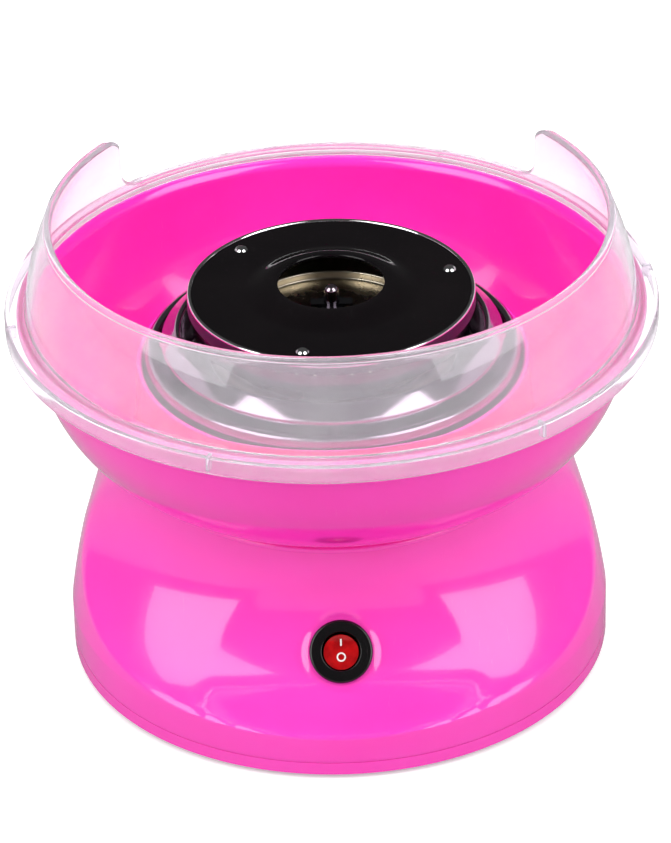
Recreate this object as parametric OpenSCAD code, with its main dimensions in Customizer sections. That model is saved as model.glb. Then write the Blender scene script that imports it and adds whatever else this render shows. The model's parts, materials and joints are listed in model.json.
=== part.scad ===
/* [Base] */
// Radius of the base at its foot
base_r = 114; // [110:0.5:125]
// Height of the flat deck that the bowl stands on
deck_z = 93; // [90:0.5:100]
// Radius of the base at deck level, measured across its two shoulders
shoulder_r = 95.5; // [92:0.5:100]
// Radius of the arc of the base's side wall
side_arc_r = 310; // [250:5:400]
// Height at which the upright foot band ends and the side wall starts to lean
band_top_z = 22; // [18:0.5:28]
// Wall thickness of the base housing
base_wall = 2.5; // [2:0.1:3.5]
// Height of the joint between the housing and the bottom cover
parting_z = 8; // [7:0.5:10]
// Radius of the round collar under the bowl
deck_collar_r = 84; // [83.5:0.5:88]

/* [Front and back scoops] */
// Distance of the scooped face from the spindle, at the waist
scoop_waist = 70; // [68:0.5:76]
// Radius of the scoop's upright arc
scoop_arc_r = 65; // [60:1:75]
// Height of the waist
scoop_z = 82; // [78:0.5:86]
// How far behind the spindle the scoop's plan circle has its centre
scoop_back = 45; // [35:1:55]
// Radius of the oval dish's upright arc
dish_arc_r = 47.2; // [46:0.1:50]
// Distance of the dish arc's centre in front of the spindle
dish_reach = 118.3; // [117:0.1:121]
// Height of the dish arc's centre
dish_z = 68.8; // [67:0.1:71]
// How far behind the spindle the dish's plan circle has its centre
dish_back = 124.2; // [110:0.1:140]

/* [Feet and bottom cover] */
// Gap under the bottom cover
foot_h = 2.5; // [2:0.5:5]
// Radius of a rubber foot
foot_r = 9; // [7:0.5:11]
// Radius of the circle of feet
foot_circle_r = 90; // [84:1:95]
// Thickness of the bottom cover's plate
cover_t = 2.5; // [2:0.1:3]
// Radius of the circle of cover screws
cover_screw_circle_r = 98; // [94:0.5:99]
// Width of a cooling slot
vent_w = 3; // [2:0.1:3.5]
// Length of a cooling slot
vent_l = 22; // [14:1:26]
// Number of cooling slots
vent_count = 16; // [8:1:20]

/* [Bowl] */
// Radius of the bowl's outside at the level where its wall is upright
bowl_r = 124.4; // [122:0.2:127]
// Height of that level
bowl_round_z = 157; // [154:0.5:159]
// Height of the lowest point of the bowl's outside curve
bowl_low_z = 94.6; // [94:0.1:97]
// Radius at which the bowl's outside curve is lowest
bowl_low_r = 71.2; // [66:0.2:76]
// Wall thickness of the bowl
bowl_wall = 2.2; // [1.8:0.1:3]
// Height of the bowl's rim
bowl_rim_z = 162; // [161:0.5:166]
// Outer radius of the bowl's rolled rim
bowl_rim_r = 130; // [129:0.5:131]
// Radius of the hole in the middle of the bowl
collar_r = 79.5; // [79:0.1:81]
// Height of the collar round that hole
collar_z = 136; // [125:0.5:138]

/* [Splash guard] */
// Outer radius of the guard's flange
guard_r = 135; // [134:0.5:140]
// Height of the guard's top edge
guard_top_z = 202; // [190:0.5:215]
// Depth of the guard's skirt over the bowl
skirt_h = 8; // [6:0.5:12]
// Thickness of the guard's clear plastic
guard_t = 2; // [1.6:0.1:2.5]
// Outer radius of the guard wall at its foot
guard_foot_r = 126.5; // [124:0.5:128]
// Outer radius of the guard's top bead
guard_rim_r = 117; // [116:0.1:123]
// Radius of the arc of the guard wall
guard_arc_r = 110; // [60:5:200]
// Radius of the bead along the guard's top edge
bead_r = 1.7; // [1.3:0.1:2.2]
// Half the width of the opening at the back
gap_half_w = 88; // [60:1:92]
// Fillet radius at the foot of that opening
gap_fillet_r = 8; // [4:0.5:12]
// Height of the low lip that is left across the opening
gap_lip_h = 3; // [2:0.5:6]

/* [Heater] */
// Inner radius of the heat pan
pan_r = 62.7; // [61.5:0.1:64]
// Height of the pan's lip
pan_lip_z = 150.3; // [149:0.1:152]
// Outer radius of the pan's lip
pan_lip_r = 71.1; // [70:0.1:72]
// Fall of the lip from its crest to its outer edge
pan_lip_fall = 4.9; // [3:0.1:5.5]
// Height of the pan's floor
pan_floor_z = 129; // [127:0.5:131]
// Sheet thickness of the pan and the shield
sheet_t = 1; // [0.8:0.1:1.2]
// Outer radius of the shield's rolled rim
shield_rim_r = 78; // [77:0.1:78.5]
// Height of the top of the shield's rolled rim
shield_rim_z = 141.6; // [140:0.1:142]
// Outer radius of the shield's wall
shield_r = 74; // [73:0.1:75]
// Radius of the heating ring
element_ring_r = 48; // [44:0.5:52]
// Radius of the heating tube
element_tube_r = 3.3; // [2.5:0.1:3.5]
// Height of the heating ring's centre
element_z = 138; // [137:0.5:139]

/* [Spinner head] */
// Outer radius of the spinner head
head_r = 59.6; // [57:0.1:60.5]
// Height of the head's chrome rim
head_top_z = 167; // [165:0.5:170]
// Radius of the sugar hole
sugar_hole_r = 22; // [18:0.5:24]
// Height of the lip round the sugar hole
sugar_lip_z = 170.3; // [169:0.1:173]
// Radius of the raised neck in the top plate, at its foot
neck_foot_r = 37; // [33:0.5:42]
// Height of the bottom of the head's cup
head_floor_z = 148; // [147:0.5:149]
// Radius of the step in the bottom of the cup
head_step_r = 39; // [36:0.5:42]
// Height of that step
head_step_h = 3.6; // [3:0.1:4.5]
// Number of floss slots round the head
slot_count = 48; // [24:4:60]
// Width of a floss slot
slot_w = 1.2; // [0.8:0.1:1.6]
// Radius of the circle of rivets
rivet_circle_r = 51.4; // [49:0.1:52]
// Direction of the first rivet, in degrees
rivet_angle = 16.2; // [0:0.1:119]

/* [Motor and spindle] */
// Radius of the motor's can
motor_r = 18; // [16:0.5:19]
// Length of the motor's can
motor_l = 46; // [40:1:50]
// Height of the plate that the motor hangs from
motor_plate_z = 112; // [108:0.5:114]
// Radius of the spindle
shaft_r = 3; // [2.5:0.1:3.5]
// Height of the spindle's domed tip
shaft_top_z = 168.5; // [166:0.5:169.5]
// Radius of the cross pin that drives the head
drive_pin_r = 1.2; // [1:0.1:1.4]
// Length of the cross pin
drive_pin_l = 15; // [12:0.5:16]

/* [Switch and cord inlet] */
// Height of the switch's centre on the dish
switch_z = 40.5; // [38:0.5:46]
// Radius of the switch's bezel
bezel_r = 13.1; // [12:0.1:14]
// Radius of the switch's body
switch_body_r = 10; // [9.5:0.1:10.5]
// Depth of the switch's body behind its seat
switch_depth = 17; // [14:0.5:20]
// Radius of the rocker
rocker_r = 7.2; // [6.5:0.1:7.5]
// Full swing of the rocker, in degrees
rocker_swing = 16; // [10:1:20]
// Radius of the cord hole in the grommet
cord_hole_r = 3.3; // [3:0.1:3.6]
// Height of the cord inlet
inlet_z = 13.6; // [13.5:0.1:13.8]

/* [Clearances] */
// Gap between parts that lift or slide past each other
lift_gap = 0.3; // [0.2:0.05:0.5]
// Radial gap of the spindle in its bushes and in the head's hub
running_gap = 0.04; // [0.02:0.01:0.08]
// Gap between fixed parts that nest in each other
seat_gap = 0.1; // [0.05:0.01:0.2]

/* [Hidden] */
$fn = 96;
fine = 360;               // facets of the wide arcs
eps = 0.01;               // overlap that keeps a cut clean
pink = "#ff46b4";
steel = "#b9b7b2";

// centre of a circle of radius r through p and q, on the spindle's side
function arc_centre(p, q, r) =
    let (m = (p + q) / 2, d = q - p, l = norm(d), s = sqrt(r * r - l * l / 4))
    m + s * [-d[1], d[0]] / l;
// n + 1 points of an arc from angle a0 to a1
function arc(c, r, a0, a1, n) = [for (i = [0:n]) c + r * [cos(a0 + (a1 - a0) * i / n), sin(a0 + (a1 - a0) * i / n)]];

module ring(r_out, r_in, z0, z1) {
    translate([0, 0, z0]) difference() {
        cylinder(r = r_out, h = z1 - z0, $fn = fine);
        translate([0, 0, -eps]) cylinder(r = r_in, h = z1 - z0 + 2 * eps, $fn = fine);
    }
}

module both(half) {
    for (x = [-1, 1]) translate([x * half, 0, 0]) children();
}

module around(count, radius, first = 0) {
    for (i = [0:count - 1]) rotate([0, 0, first + i * 360 / count]) translate([radius, 0, 0]) children();
}

// pan-head screw, head down, with its head's underside at z = 0 and its shank above
module screw_up(head_r, head_h, shank_r, shank_l) {
    translate([0, 0, -head_h]) cylinder(r = head_r, h = head_h);
    cylinder(r = shank_r, h = shank_l);
}

// --- base housing -------------------------------------------------------------------

side_centre = arc_centre([base_r, band_top_z], [shoulder_r, deck_z], side_arc_r);
deck_t = base_wall;
screw_shank_r = 1.5;
screw_head_r = 3.1;
screw_head_h = 2.2;
boss_r = 4.2;
cover_screw_l = 13;
shield_screw_circle_r = 67;
deck_hole_r = 60;
dish_fall = dish_z - switch_z;
switch_tilt = asin(dish_fall / dish_arc_r);                      // up from level
switch_y = -(dish_reach - sqrt(dish_arc_r * dish_arc_r - dish_fall * dish_fall));
bezel_pad_h = 1;                                                 // seat of the bezel above the dish
bezel_gap = 0.4;

// ring-shaped cutter whose plan circle is centred behind the spindle; side is 1 front, -1 back
module scoop(side, back, reach, z, r) {
    translate([0, side * back, 0]) rotate_extrude($fn = fine) translate([reach + back, z]) circle(r = r, $fn = fine);
}

module housing_form(inset) {
    difference() {
        rotate_extrude($fn = fine) intersection() {
            translate([0, parting_z - inset]) square([base_r - inset, deck_z - parting_z]);
            translate(side_centre) circle(r = side_arc_r - inset, $fn = 4 * fine);
        }
        for (side = [1, -1]) scoop(side, scoop_back, scoop_waist + scoop_arc_r, scoop_z, scoop_arc_r + inset);
        scoop(1, dish_back, dish_reach, dish_z, dish_arc_r + inset);
    }
}

// places its children on the dish: +Z out of the face, +Y up along it
module at_switch() {
    translate([0, switch_y, switch_z]) rotate([90 - switch_tilt, 0, 0]) children();
}

module base_housing() {
    color(pink) difference() {
        union() {
            difference() {
                housing_form(0);
                housing_form(base_wall);
            }
            ring(deck_collar_r, deck_hole_r, deck_z - deck_t, deck_z);
            intersection() {
                around(4, cover_screw_circle_r, 45) translate([0, 0, parting_z + seat_gap])
                    cylinder(r = boss_r, h = deck_z - parting_z);
                housing_form(base_wall / 2);
            }
            around(3, shield_screw_circle_r, 90) translate([0, 0, deck_z - deck_t - boss_h])
                cylinder(r = boss_r - deck_boss_trim, h = boss_h + deck_t / 2);
            at_switch() translate([0, 0, -base_wall]) cylinder(r = bezel_r + bezel_gap, h = base_wall + bezel_pad_h);
        }
        translate([0, 0, deck_z - deck_t - eps]) cylinder(r = deck_hole_r, h = deck_t + 2 * eps, $fn = fine);
        at_switch() translate([0, 0, bezel_pad_h]) cylinder(r = bezel_r + bezel_gap, h = 4 * base_wall);
        at_switch() translate([0, 0, -4 * base_wall]) cylinder(r = switch_body_r + seat_gap, h = 6 * base_wall);
        at_inlet() translate([0, 0, -2 * base_wall]) cylinder(r = grommet_neck_r + seat_gap, h = 3 * base_wall);
        around(4, cover_screw_circle_r, 45) translate([0, 0, parting_z - base_wall])
            cylinder(r = screw_shank_r + seat_gap, h = cover_screw_l + base_wall);
        around(3, shield_screw_circle_r, 90) translate([0, 0, deck_z - deck_t - boss_h / 2])
            cylinder(r = screw_shank_r + seat_gap, h = boss_h + deck_t);
    }
}
boss_h = 8;
deck_boss_trim = 1.2;

// --- bottom cover, feet and their screws --------------------------------------------

lip_h = 3;
lip_t = 1.6;
cover_boss_r = 6;
cover_head_z = foot_h + screw_head_h + 0.6;
foot_stem_r = 3;
foot_socket = 0.8;
vent_circle_r = 34;
foot_angle = 22.5;

module bottom_cover() {
    color(pink) difference() {
        union() {
            translate([0, 0, foot_h]) cylinder(r = base_r, h = cover_t, $fn = fine);
            ring(base_r, base_r - base_wall, foot_h, parting_z);
            ring(base_r - base_wall - seat_gap, base_r - base_wall - seat_gap - lip_t, foot_h, parting_z + lip_h);
            around(4, cover_screw_circle_r, 45) translate([0, 0, foot_h])
                cylinder(r = cover_boss_r, h = parting_z - foot_h);
            both(clamp_half_w) translate([0, clamp_y, foot_h]) cylinder(r = boss_r, h = inlet_z - foot_h);
            at_board_holes() translate([0, 0, foot_h]) cylinder(r = board_post_r, h = board_z - foot_h);
        }
        around(4, cover_screw_circle_r, 45) {
            translate([0, 0, -eps]) cylinder(r = screw_head_r + 2 * seat_gap, h = cover_head_z + eps);
            cylinder(r = screw_shank_r + 2 * seat_gap, h = 3 * parting_z);
        }
        around(4, foot_circle_r, foot_angle) {
            translate([0, 0, -eps]) cylinder(r = foot_r + seat_gap, h = foot_h + foot_socket);
            cylinder(r = foot_stem_r + seat_gap, h = 3 * cover_t);
        }
        around(vent_count, vent_circle_r) translate([0, 0, foot_h + cover_t / 2])
            cube([vent_l, vent_w, 2 * cover_t], center = true);
        both(clamp_half_w) translate([0, clamp_y, foot_h + cover_t]) cylinder(r = screw_shank_r + seat_gap, h = inlet_z);
        at_board_holes() translate([0, 0, foot_h + cover_t]) cylinder(r = screw_shank_r + seat_gap, h = board_z);
        inlet_notch();
    }
}

module rubber_feet() {
    color("#2a2a2c") around(4, foot_circle_r, foot_angle) {
        cylinder(r = foot_r, h = foot_h + foot_socket - eps);
        cylinder(r = foot_stem_r, h = foot_h + cover_t + 1);
        translate([0, 0, foot_h + cover_t + seat_gap / 2]) cylinder(r1 = foot_stem_r + 1.2, r2 = foot_stem_r - 0.5, h = 2.5);
    }
}

module cover_screws() {
    color(steel) around(4, cover_screw_circle_r, 45) translate([0, 0, cover_head_z]) difference() {
        screw_up(screw_head_r, screw_head_h, screw_shank_r, cover_screw_l - (cover_head_z - parting_z) - 1);
        translate([0, 0, -screw_head_h - eps]) for (a = [0, 90]) rotate([0, 0, a])
            cube([3.6, 0.9, 1.8], center = true);
    }
}

// --- cord inlet, clamp and wiring ---------------------------------------------------

grommet_neck_r = 4.6;
grommet_flange_r = 5.3;
grommet_flange_t = 1.6;
clamp_half_w = 11;
clamp_y = 92;
clamp_t = 5;

// places its children on the back of the foot band: +Z out of the face
module at_inlet() {
    translate([0, base_r, inlet_z]) rotate([-90, 0, 0]) children();
}

// the cover's locating lip makes way for the grommet
module inlet_notch() {
    translate([0, base_r - 2 * base_wall, inlet_z]) rotate([-90, 0, 0])
        translate([0, 0, -base_wall]) cylinder(r = grommet_flange_r + lift_gap, h = 2.6 * base_wall);
}

module cord_grommet() {
    color("#1c1c1e") at_inlet() difference() {
        union() {
            translate([0, 0, -base_wall - grommet_flange_t - sagitta]) cylinder(r = grommet_neck_r, h = base_wall + 2 * grommet_flange_t + sagitta);
            cylinder(r = grommet_flange_r, h = grommet_flange_t);
            translate([0, 0, -base_wall - grommet_flange_t - sagitta]) cylinder(r = grommet_flange_r - lift_gap, h = grommet_flange_t);
        }
        translate([0, 0, -4 * base_wall]) cylinder(r = cord_hole_r, h = 8 * base_wall);
    }
}
sagitta = 0.2;            // hollow of the round wall behind the grommet's inner flange

module cord_clamp() {
    color("#e8e6e0") difference() {
        translate([-clamp_half_w - boss_r, clamp_y - boss_r, inlet_z]) cube([2 * (clamp_half_w + boss_r), 2 * boss_r, clamp_t]);
        both(clamp_half_w) translate([0, clamp_y, 0]) cylinder(r = screw_shank_r + seat_gap, h = 2 * inlet_z);
        translate([0, clamp_y, inlet_z]) rotate([90, 0, 0]) cylinder(r = cord_hole_r, h = 4 * boss_r, center = true);
    }
}

module clamp_screws() {
    color(steel) both(clamp_half_w) translate([0, clamp_y, inlet_z + clamp_t]) rotate([180, 0, 0])
        screw_up(screw_head_r, screw_head_h, screw_shank_r, inlet_z + clamp_t - foot_h - cover_t - 0.5);
}

block_l = 26;
block_w = 13;
block_h = 11;
block_place = [38, 62, foot_h + cover_t];
block_ways = 3;

module terminal_block() {
    color("#f2efe6") translate(block_place) difference() {
        translate([-block_l / 2, -block_w / 2, 0]) cube([block_l, block_w, block_h]);
        for (i = [1:block_ways]) translate([(i - (block_ways + 1) / 2) * block_l / block_ways, 0, 0]) {
            translate([0, 0, block_h - 4]) cylinder(r = 2.4, h = 5);
            translate([0, 0, block_h / 2 - 1]) rotate([90, 0, 0]) cylinder(r = 1.5, h = 2 * block_w, center = true);
        }
    }
}

board_l = 50;
board_w = 34;
board_t = 1.6;
board_x = -60;
board_y = 40;
board_z = 12;
board_hole_x = 20;
board_hole_y = 13;
board_post_r = 3;
cap_r = 7;
cap_l = 20;

module at_board_holes() {
    for (x = [-1, 1], y = [-1, 1]) translate([board_x + x * board_hole_x, board_y + y * board_hole_y, 0]) children();
}

module rectifier_board() {
    color("#c9a54a") difference() {
        translate([board_x - board_l / 2, board_y - board_w / 2, board_z]) cube([board_l, board_w, board_t]);
        at_board_holes() translate([0, 0, board_z - board_t]) cylinder(r = screw_shank_r + seat_gap, h = 3 * board_t);
    }
}

module board_capacitor() {
    color("#22252e") translate([board_x + 5, board_y + 5, board_z + board_t]) {
        cylinder(r = cap_r, h = cap_l);
        translate([0, 0, cap_l]) cylinder(r = cap_r - 1, h = 0.4);
    }
}

module board_diodes() {
    for (i = [0:3]) translate([board_x - 12 + i * 6, board_y - 8, board_z + board_t + 1.6]) {
        color("#17171a") rotate([90, 0, 0]) cylinder(r = 1.6, h = 6, center = true);
        color(steel) for (y = [-1, 1]) translate([0, y * 4, 0]) {
            rotate([90, 0, 0]) cylinder(r = 0.4, h = 2.2, center = true);
            translate([0, y * 0.8, -1.6]) cylinder(r = 0.4, h = 1.9);
        }
    }
}

module board_screws() {
    color(steel) at_board_holes() translate([0, 0, board_z + board_t]) rotate([180, 0, 0])
        screw_up(screw_head_r - 0.4, screw_head_h - 0.4, screw_shank_r, board_z + board_t - foot_h - cover_t - 0.5);
}

wire_r = 1.1;
function unit(v) = v / norm(v);
function bend(p, t) = pow(1 - t, 3) * p[0] + 3 * t * pow(1 - t, 2) * p[1] + 3 * t * t * (1 - t) * p[2] + pow(t, 3) * p[3];
function heading(p, t) = unit(pow(1 - t, 2) * (p[1] - p[0]) + 2 * t * (1 - t) * (p[2] - p[1]) + t * t * (p[3] - p[2]));

// insulated wire along one smooth bend with four control points
module wire(p, rings = 18, sides = 8) {
    points = [for (i = [0:rings]) let (
        t = i / rings, d = heading(p, t), u = unit(cross(d, abs(d[2]) > 0.9 ? [1, 0, 0] : [0, 0, 1])), v = cross(d, u)
    ) for (k = [0:sides - 1]) bend(p, t) + wire_r * (cos(360 * k / sides) * u + sin(360 * k / sides) * v)];
    quads = [for (i = [0:rings - 1], k = [0:sides - 1]) let (a = i * sides, b = a + sides, n = (k + 1) % sides)
        [a + k, a + n, b + n, b + k]];
    polyhedron(points, concat([[for (k = [sides - 1:-1:0]) k]], quads, [[for (k = [0:sides - 1]) rings * sides + k]]));
}

module wiring() {
    switch_back = [0, switch_y + 26, switch_z - 14];
    for (x = [-1, 1]) {
        color(x > 0 ? "#b03030" : "#303036") wire([
            block_place + [x * 8.6, -block_w / 2 - 1, 5], block_place + [x * 8 + 6, -60, 6],
            switch_back + [x * 6 + 24, 26, -10], switch_back + [x * 5, 0, 0]
        ]);
        color("#e8e4da") wire([
            block_place + [x * 4.3 - 4.3, -block_w / 2 - 1, block_h + 2], [22 + 6 * x, 26, 24],
            [10 * x, 21, 60], [3.4 * x, 21.2, 96]
        ]);
        color("#e8e4da") wire([
            [3.4 * x, 21.2, 96.2], [3.4 * x, 21.2, 108], [element_gap_half * x, leg_y, 106],
            [element_gap_half * x, leg_y, leg_end_z]
        ]);
        color("#3450a0") wire([
            [board_x + 12 + 4 * x, board_y - 14, board_z + board_t + 1.3], [board_x + 30, board_y - 30, 30],
            [lead_hole_circle_r * x, 0, motor_bottom_z - motor_cap_t - 14],
            [lead_hole_circle_r * x, 0, motor_bottom_z - motor_cap_t + 1]
        ]);
    }
}

// --- switch -------------------------------------------------------------------------

bezel_t = 2.6;
bezel_round = 1.1;
rocker_window_r = rocker_r + 0.8;
rocker_pivot_depth = 2.4;     // pivot below the bezel's top
rocker_sweep_r = rocker_window_r - 0.1;
rocker_drop = 9;              // depth of the rocker's foot below its pivot
mark_h = 0.25;

module switch_body() {
    color("#111114") at_switch() translate([0, 0, bezel_pad_h]) difference() {
        union() {
            rotate_extrude() difference() {
                union() {
                    square([bezel_r - bezel_round, bezel_t]);
                    square([bezel_r, bezel_t - bezel_round]);
                    translate([bezel_r - bezel_round, bezel_t - bezel_round]) circle(r = bezel_round);
                }
                translate([-bezel_r, 0]) square([bezel_r, bezel_t]);
            }
            translate([0, 0, -switch_depth]) cylinder(r = switch_body_r, h = switch_depth + eps);
        }
        translate([0, 0, bezel_t - rocker_pivot_depth - rocker_drop - 0.5])
            cylinder(r = rocker_window_r, h = rocker_drop + 2 * bezel_t + 1);
    }
}

module switch_terminals() {
    color("#c9a24a") at_switch() for (y = [-5, 5]) translate([-3.1, y - 0.4, bezel_pad_h - switch_depth - 7]) difference() {
        cube([6.2, 0.8, 7]);
        translate([3.1, 0.4, 2.6]) rotate([90, 0, 0]) cylinder(r = 1, h = 2, center = true);
    }
}

// places its children in the rocker's own frame, tilted with the lower half pressed in
module at_rocker() {
    at_switch() translate([0, 0, bezel_pad_h + bezel_t - rocker_pivot_depth]) rotate([rocker_swing / 2, 0, 0]) children();
}

module switch_rocker() {
    color("#c01018") at_rocker() intersection() {
        translate([0, 0, -rocker_drop]) cylinder(r = rocker_r, h = 3 * rocker_drop);
        rotate([0, 90, 0]) cylinder(r = rocker_sweep_r, h = 2 * rocker_r, center = true);
        difference() {
            translate([-rocker_r, -rocker_r, -rocker_drop]) cube([2 * rocker_r, 2 * rocker_r, rocker_drop + rocker_face_z + rocker_face_hollow]);
            translate([0, 0, rocker_face_z + rocker_face_r]) rotate([0, 90, 0]) cylinder(r = rocker_face_r, h = 4 * rocker_r, center = true, $fn = fine);
        }
    }
}
rocker_face_z = 2.2;
rocker_face_hollow = 1.2;
rocker_face_r = (rocker_r * rocker_r + rocker_face_hollow * rocker_face_hollow) / (2 * rocker_face_hollow);

// an upright stroke and a ring that lie on the rocker's hollow face
module rocker_marks() {
    color("#f6f2ee") at_rocker() intersection() {
        union() {
            translate([-0.35, 2.6, 0]) cube([0.7, 2.9, 2 * rocker_drop]);
            translate([0, -2, 0]) ring(1.9, 1.3, 0, 2 * rocker_drop);
        }
        translate([0, 0, rocker_face_z + rocker_face_r]) rotate([0, 90, 0]) difference() {
            cylinder(r = rocker_face_r, h = 2 * rocker_r, center = true, $fn = fine);
            cylinder(r = rocker_face_r - mark_h, h = 4 * rocker_r, center = true, $fn = fine);
        }
        translate([0, 0, rocker_face_z + rocker_drop / 2]) cube([2 * rocker_r, 2 * rocker_r, rocker_drop], center = true);
    }
}

// --- heat shield and pan ------------------------------------------------------------

shield_hole_r = 24;
shield_roll_r = (shield_rim_r - shield_r + sheet_t) / 2;
shield_roll_c = [shield_r - sheet_t + shield_roll_r, shield_rim_z - shield_roll_r];
spacer_circle_r = 54;
spacer_r = 3.5;
spacer_angle = 30;
pan_hole_r = shaft_r + 2;
pan_corner_r = 4;
lip_round = 1.7;
lip_c1 = [pan_r + lip_round, pan_lip_z - lip_round];
lip_c2 = [pan_lip_r - lip_round, pan_lip_z - pan_lip_fall - lip_round / 2];
lip_angle = 90 + atan2(lip_c2[1] - lip_c1[1], lip_c2[0] - lip_c1[0]);
arc_n = 8;

module heat_shield() {
    z0 = deck_z;
    color("#c8c8c6") difference() {
        rotate_extrude($fn = fine) {
            translate([shield_hole_r, z0]) square([shield_r - shield_hole_r, sheet_t]);
            polygon(concat(
                [[shield_r - sheet_t, z0], [shield_r, z0]],
                arc(shield_roll_c, shield_roll_r - sheet_t, 180, 0, arc_n),
                [[shield_rim_r - sheet_t, shield_roll_c[1] - 2], [shield_rim_r, shield_roll_c[1] - 2]],
                arc(shield_roll_c, shield_roll_r, 0, 180, arc_n)
            ));
        }
        around(3, shield_screw_circle_r, 90) translate([0, 0, z0 - 1]) cylinder(r = screw_shank_r + seat_gap, h = 3);
        around(3, spacer_circle_r, spacer_angle) translate([0, 0, z0 - 1]) cylinder(r = screw_shank_r + seat_gap, h = 3);
        around(2, motor_post_circle_r, 0) translate([0, 0, z0 - 1]) cylinder(r = screw_shank_r + seat_gap, h = 3);
    }
}

module shield_screws() {
    color(steel) around(3, shield_screw_circle_r, 90) translate([0, 0, deck_z + sheet_t]) rotate([180, 0, 0])
        screw_up(screw_head_r, screw_head_h, screw_shank_r, sheet_t + deck_t + boss_h / 2 - 1);
}

// one face of the pan's sheet, from the shaft hole to the end of the lip; d is its depth in the sheet
function pan_face(d) = concat(
    [[pan_hole_r, pan_floor_z + sheet_t - d]],
    arc([pan_r - pan_corner_r, pan_floor_z + sheet_t + pan_corner_r], pan_corner_r + d, -90, 0, arc_n),
    arc(lip_c1, lip_round - d, 180, lip_angle, arc_n),
    arc(lip_c2, lip_round - d, lip_angle, 0, arc_n),
    [[pan_lip_r - d, lip_c2[1] - 1]]
);
function reversed(v) = [for (i = [len(v) - 1:-1:0]) v[i]];

module heat_pan() {
    color("#d4d3cf") difference() {
        rotate_extrude($fn = fine) polygon(concat(pan_face(0), reversed(pan_face(sheet_t))));
        around(3, spacer_circle_r, spacer_angle) translate([0, 0, pan_floor_z - 1]) cylinder(r = screw_shank_r + seat_gap, h = 3);
        at_legs() translate([0, 0, pan_floor_z - 1]) cylinder(r = insulator_neck_r + seat_gap, h = 3);
    }
}

module pan_spacers() {
    color("#ece9e2") around(3, spacer_circle_r, spacer_angle)
        ring(spacer_r, screw_shank_r + seat_gap, deck_z + sheet_t, pan_floor_z);
}

module pan_screws() {
    color(steel) around(3, spacer_circle_r, spacer_angle) translate([0, 0, pan_floor_z + sheet_t]) rotate([180, 0, 0])
        screw_up(screw_head_r, screw_head_h, screw_shank_r, pan_floor_z + sheet_t - deck_z + nut_h + 1);
}

module pan_nuts() {
    color(steel) around(3, spacer_circle_r, spacer_angle) translate([0, 0, deck_z - nut_h]) difference() {
        cylinder(r = nut_r, h = nut_h, $fn = 6);
        translate([0, 0, -1]) cylinder(r = screw_shank_r + eps, h = 2 * nut_h);
    }
}
nut_r = 3.2;
nut_h = 2.4;

// --- heating element ----------------------------------------------------------------

element_gap_half = 9;
element_gap_angle = 2 * asin(element_gap_half / element_ring_r);
leg_bend_r = 5;
insulator_r = 5;
insulator_neck_r = 3.6;
insulator_t = 3;
leg_end_z = pan_floor_z - 12;
leg_y = element_ring_r * cos(element_gap_angle / 2);

module heating_element() {
    color("#6d6a66") {
        rotate([0, 0, 90 + element_gap_angle / 2]) rotate_extrude(angle = 360 - element_gap_angle, $fn = fine)
            translate([element_ring_r, element_z]) circle(r = element_tube_r, $fn = 48);
        at_legs() {
            translate([0, 0, leg_end_z]) cylinder(r = leg_r, h = element_z - leg_end_z);
            translate([0, 0, element_z]) sphere(r = element_tube_r, $fn = 48);
        }
    }
}
leg_r = 2;

module at_legs() {
    for (x = [-1, 1]) rotate([0, 0, 90 + x * element_gap_angle / 2]) translate([element_ring_r, 0, 0]) children();
}

module element_insulators() {
    color("#f0ece0") at_legs() difference() {
        union() {
            translate([0, 0, pan_floor_z + sheet_t]) cylinder(r = insulator_r, h = insulator_t);
            translate([0, 0, pan_floor_z - insulator_t]) cylinder(r = insulator_neck_r, h = insulator_t + 2 * sheet_t);
        }
        translate([0, 0, leg_end_z - 1]) cylinder(r = leg_r + seat_gap, h = 3 * element_z);
    }
}

module element_clips() {
    color("#8d8b88") around(3, element_ring_r, clip_angle) {
        difference() {
            translate([0, clip_w / 2, element_z]) rotate([90, 0, 0]) cylinder(r = element_tube_r + 1, h = clip_w);
            translate([0, clip_w, element_z]) rotate([90, 0, 0]) cylinder(r = element_tube_r + seat_gap, h = 2 * clip_w);
            translate([-2 * clip_w, -clip_w, element_z]) cube([4 * clip_w, 2 * clip_w, 2 * clip_w]);
        }
        translate([-1.5, -clip_w / 2, pan_floor_z + sheet_t]) cube([3, clip_w, element_z - element_tube_r - 1 - pan_floor_z - sheet_t + 0.4]);
        translate([-4, -clip_w / 2, pan_floor_z + sheet_t]) cube([8, clip_w, 0.8]);
    }
}
clip_w = 6;
clip_angle = 330;

cutout_r = 7.5;
cutout_h = 9;
cutout_place = [-37, -26, pan_floor_z];

module thermal_cutout() {
    color("#34332f") translate(cutout_place) {
        translate([0, 0, -cutout_h]) cylinder(r = cutout_r, h = cutout_h);
        translate([-cutout_r - 4, -3, -1.2]) cube([2 * cutout_r + 8, 6, 1.2]);
    }
    color("#c9a24a") translate(cutout_place) for (x = [-3.5, 3.5])
        translate([x - 0.4, -2.4, -cutout_h - 7]) cube([0.8, 4.8, 7 + eps]);
}

// --- motor --------------------------------------------------------------------------

motor_plate_t = 1.5;
motor_post_circle_r = 29;
motor_post_r = 3.2;
motor_bottom_z = motor_plate_z - motor_l;
motor_cap_t = 4;
can_t = 1;
nose_r = 6;
nose_h = motor_plate_t + 1;
bush_r = 5;
bush_l = 5;
motor_screw_circle_r = 12.5;
magnet_t = 3.2;
core_r = 12.4;
core_z0 = motor_bottom_z + 11;
core_z1 = core_z0 + 22;
teeth = 5;
commutator_r = 5;
commutator_z0 = motor_bottom_z + 1.6;
commutator_l = 6;
core_bore_r = shaft_r;

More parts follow.
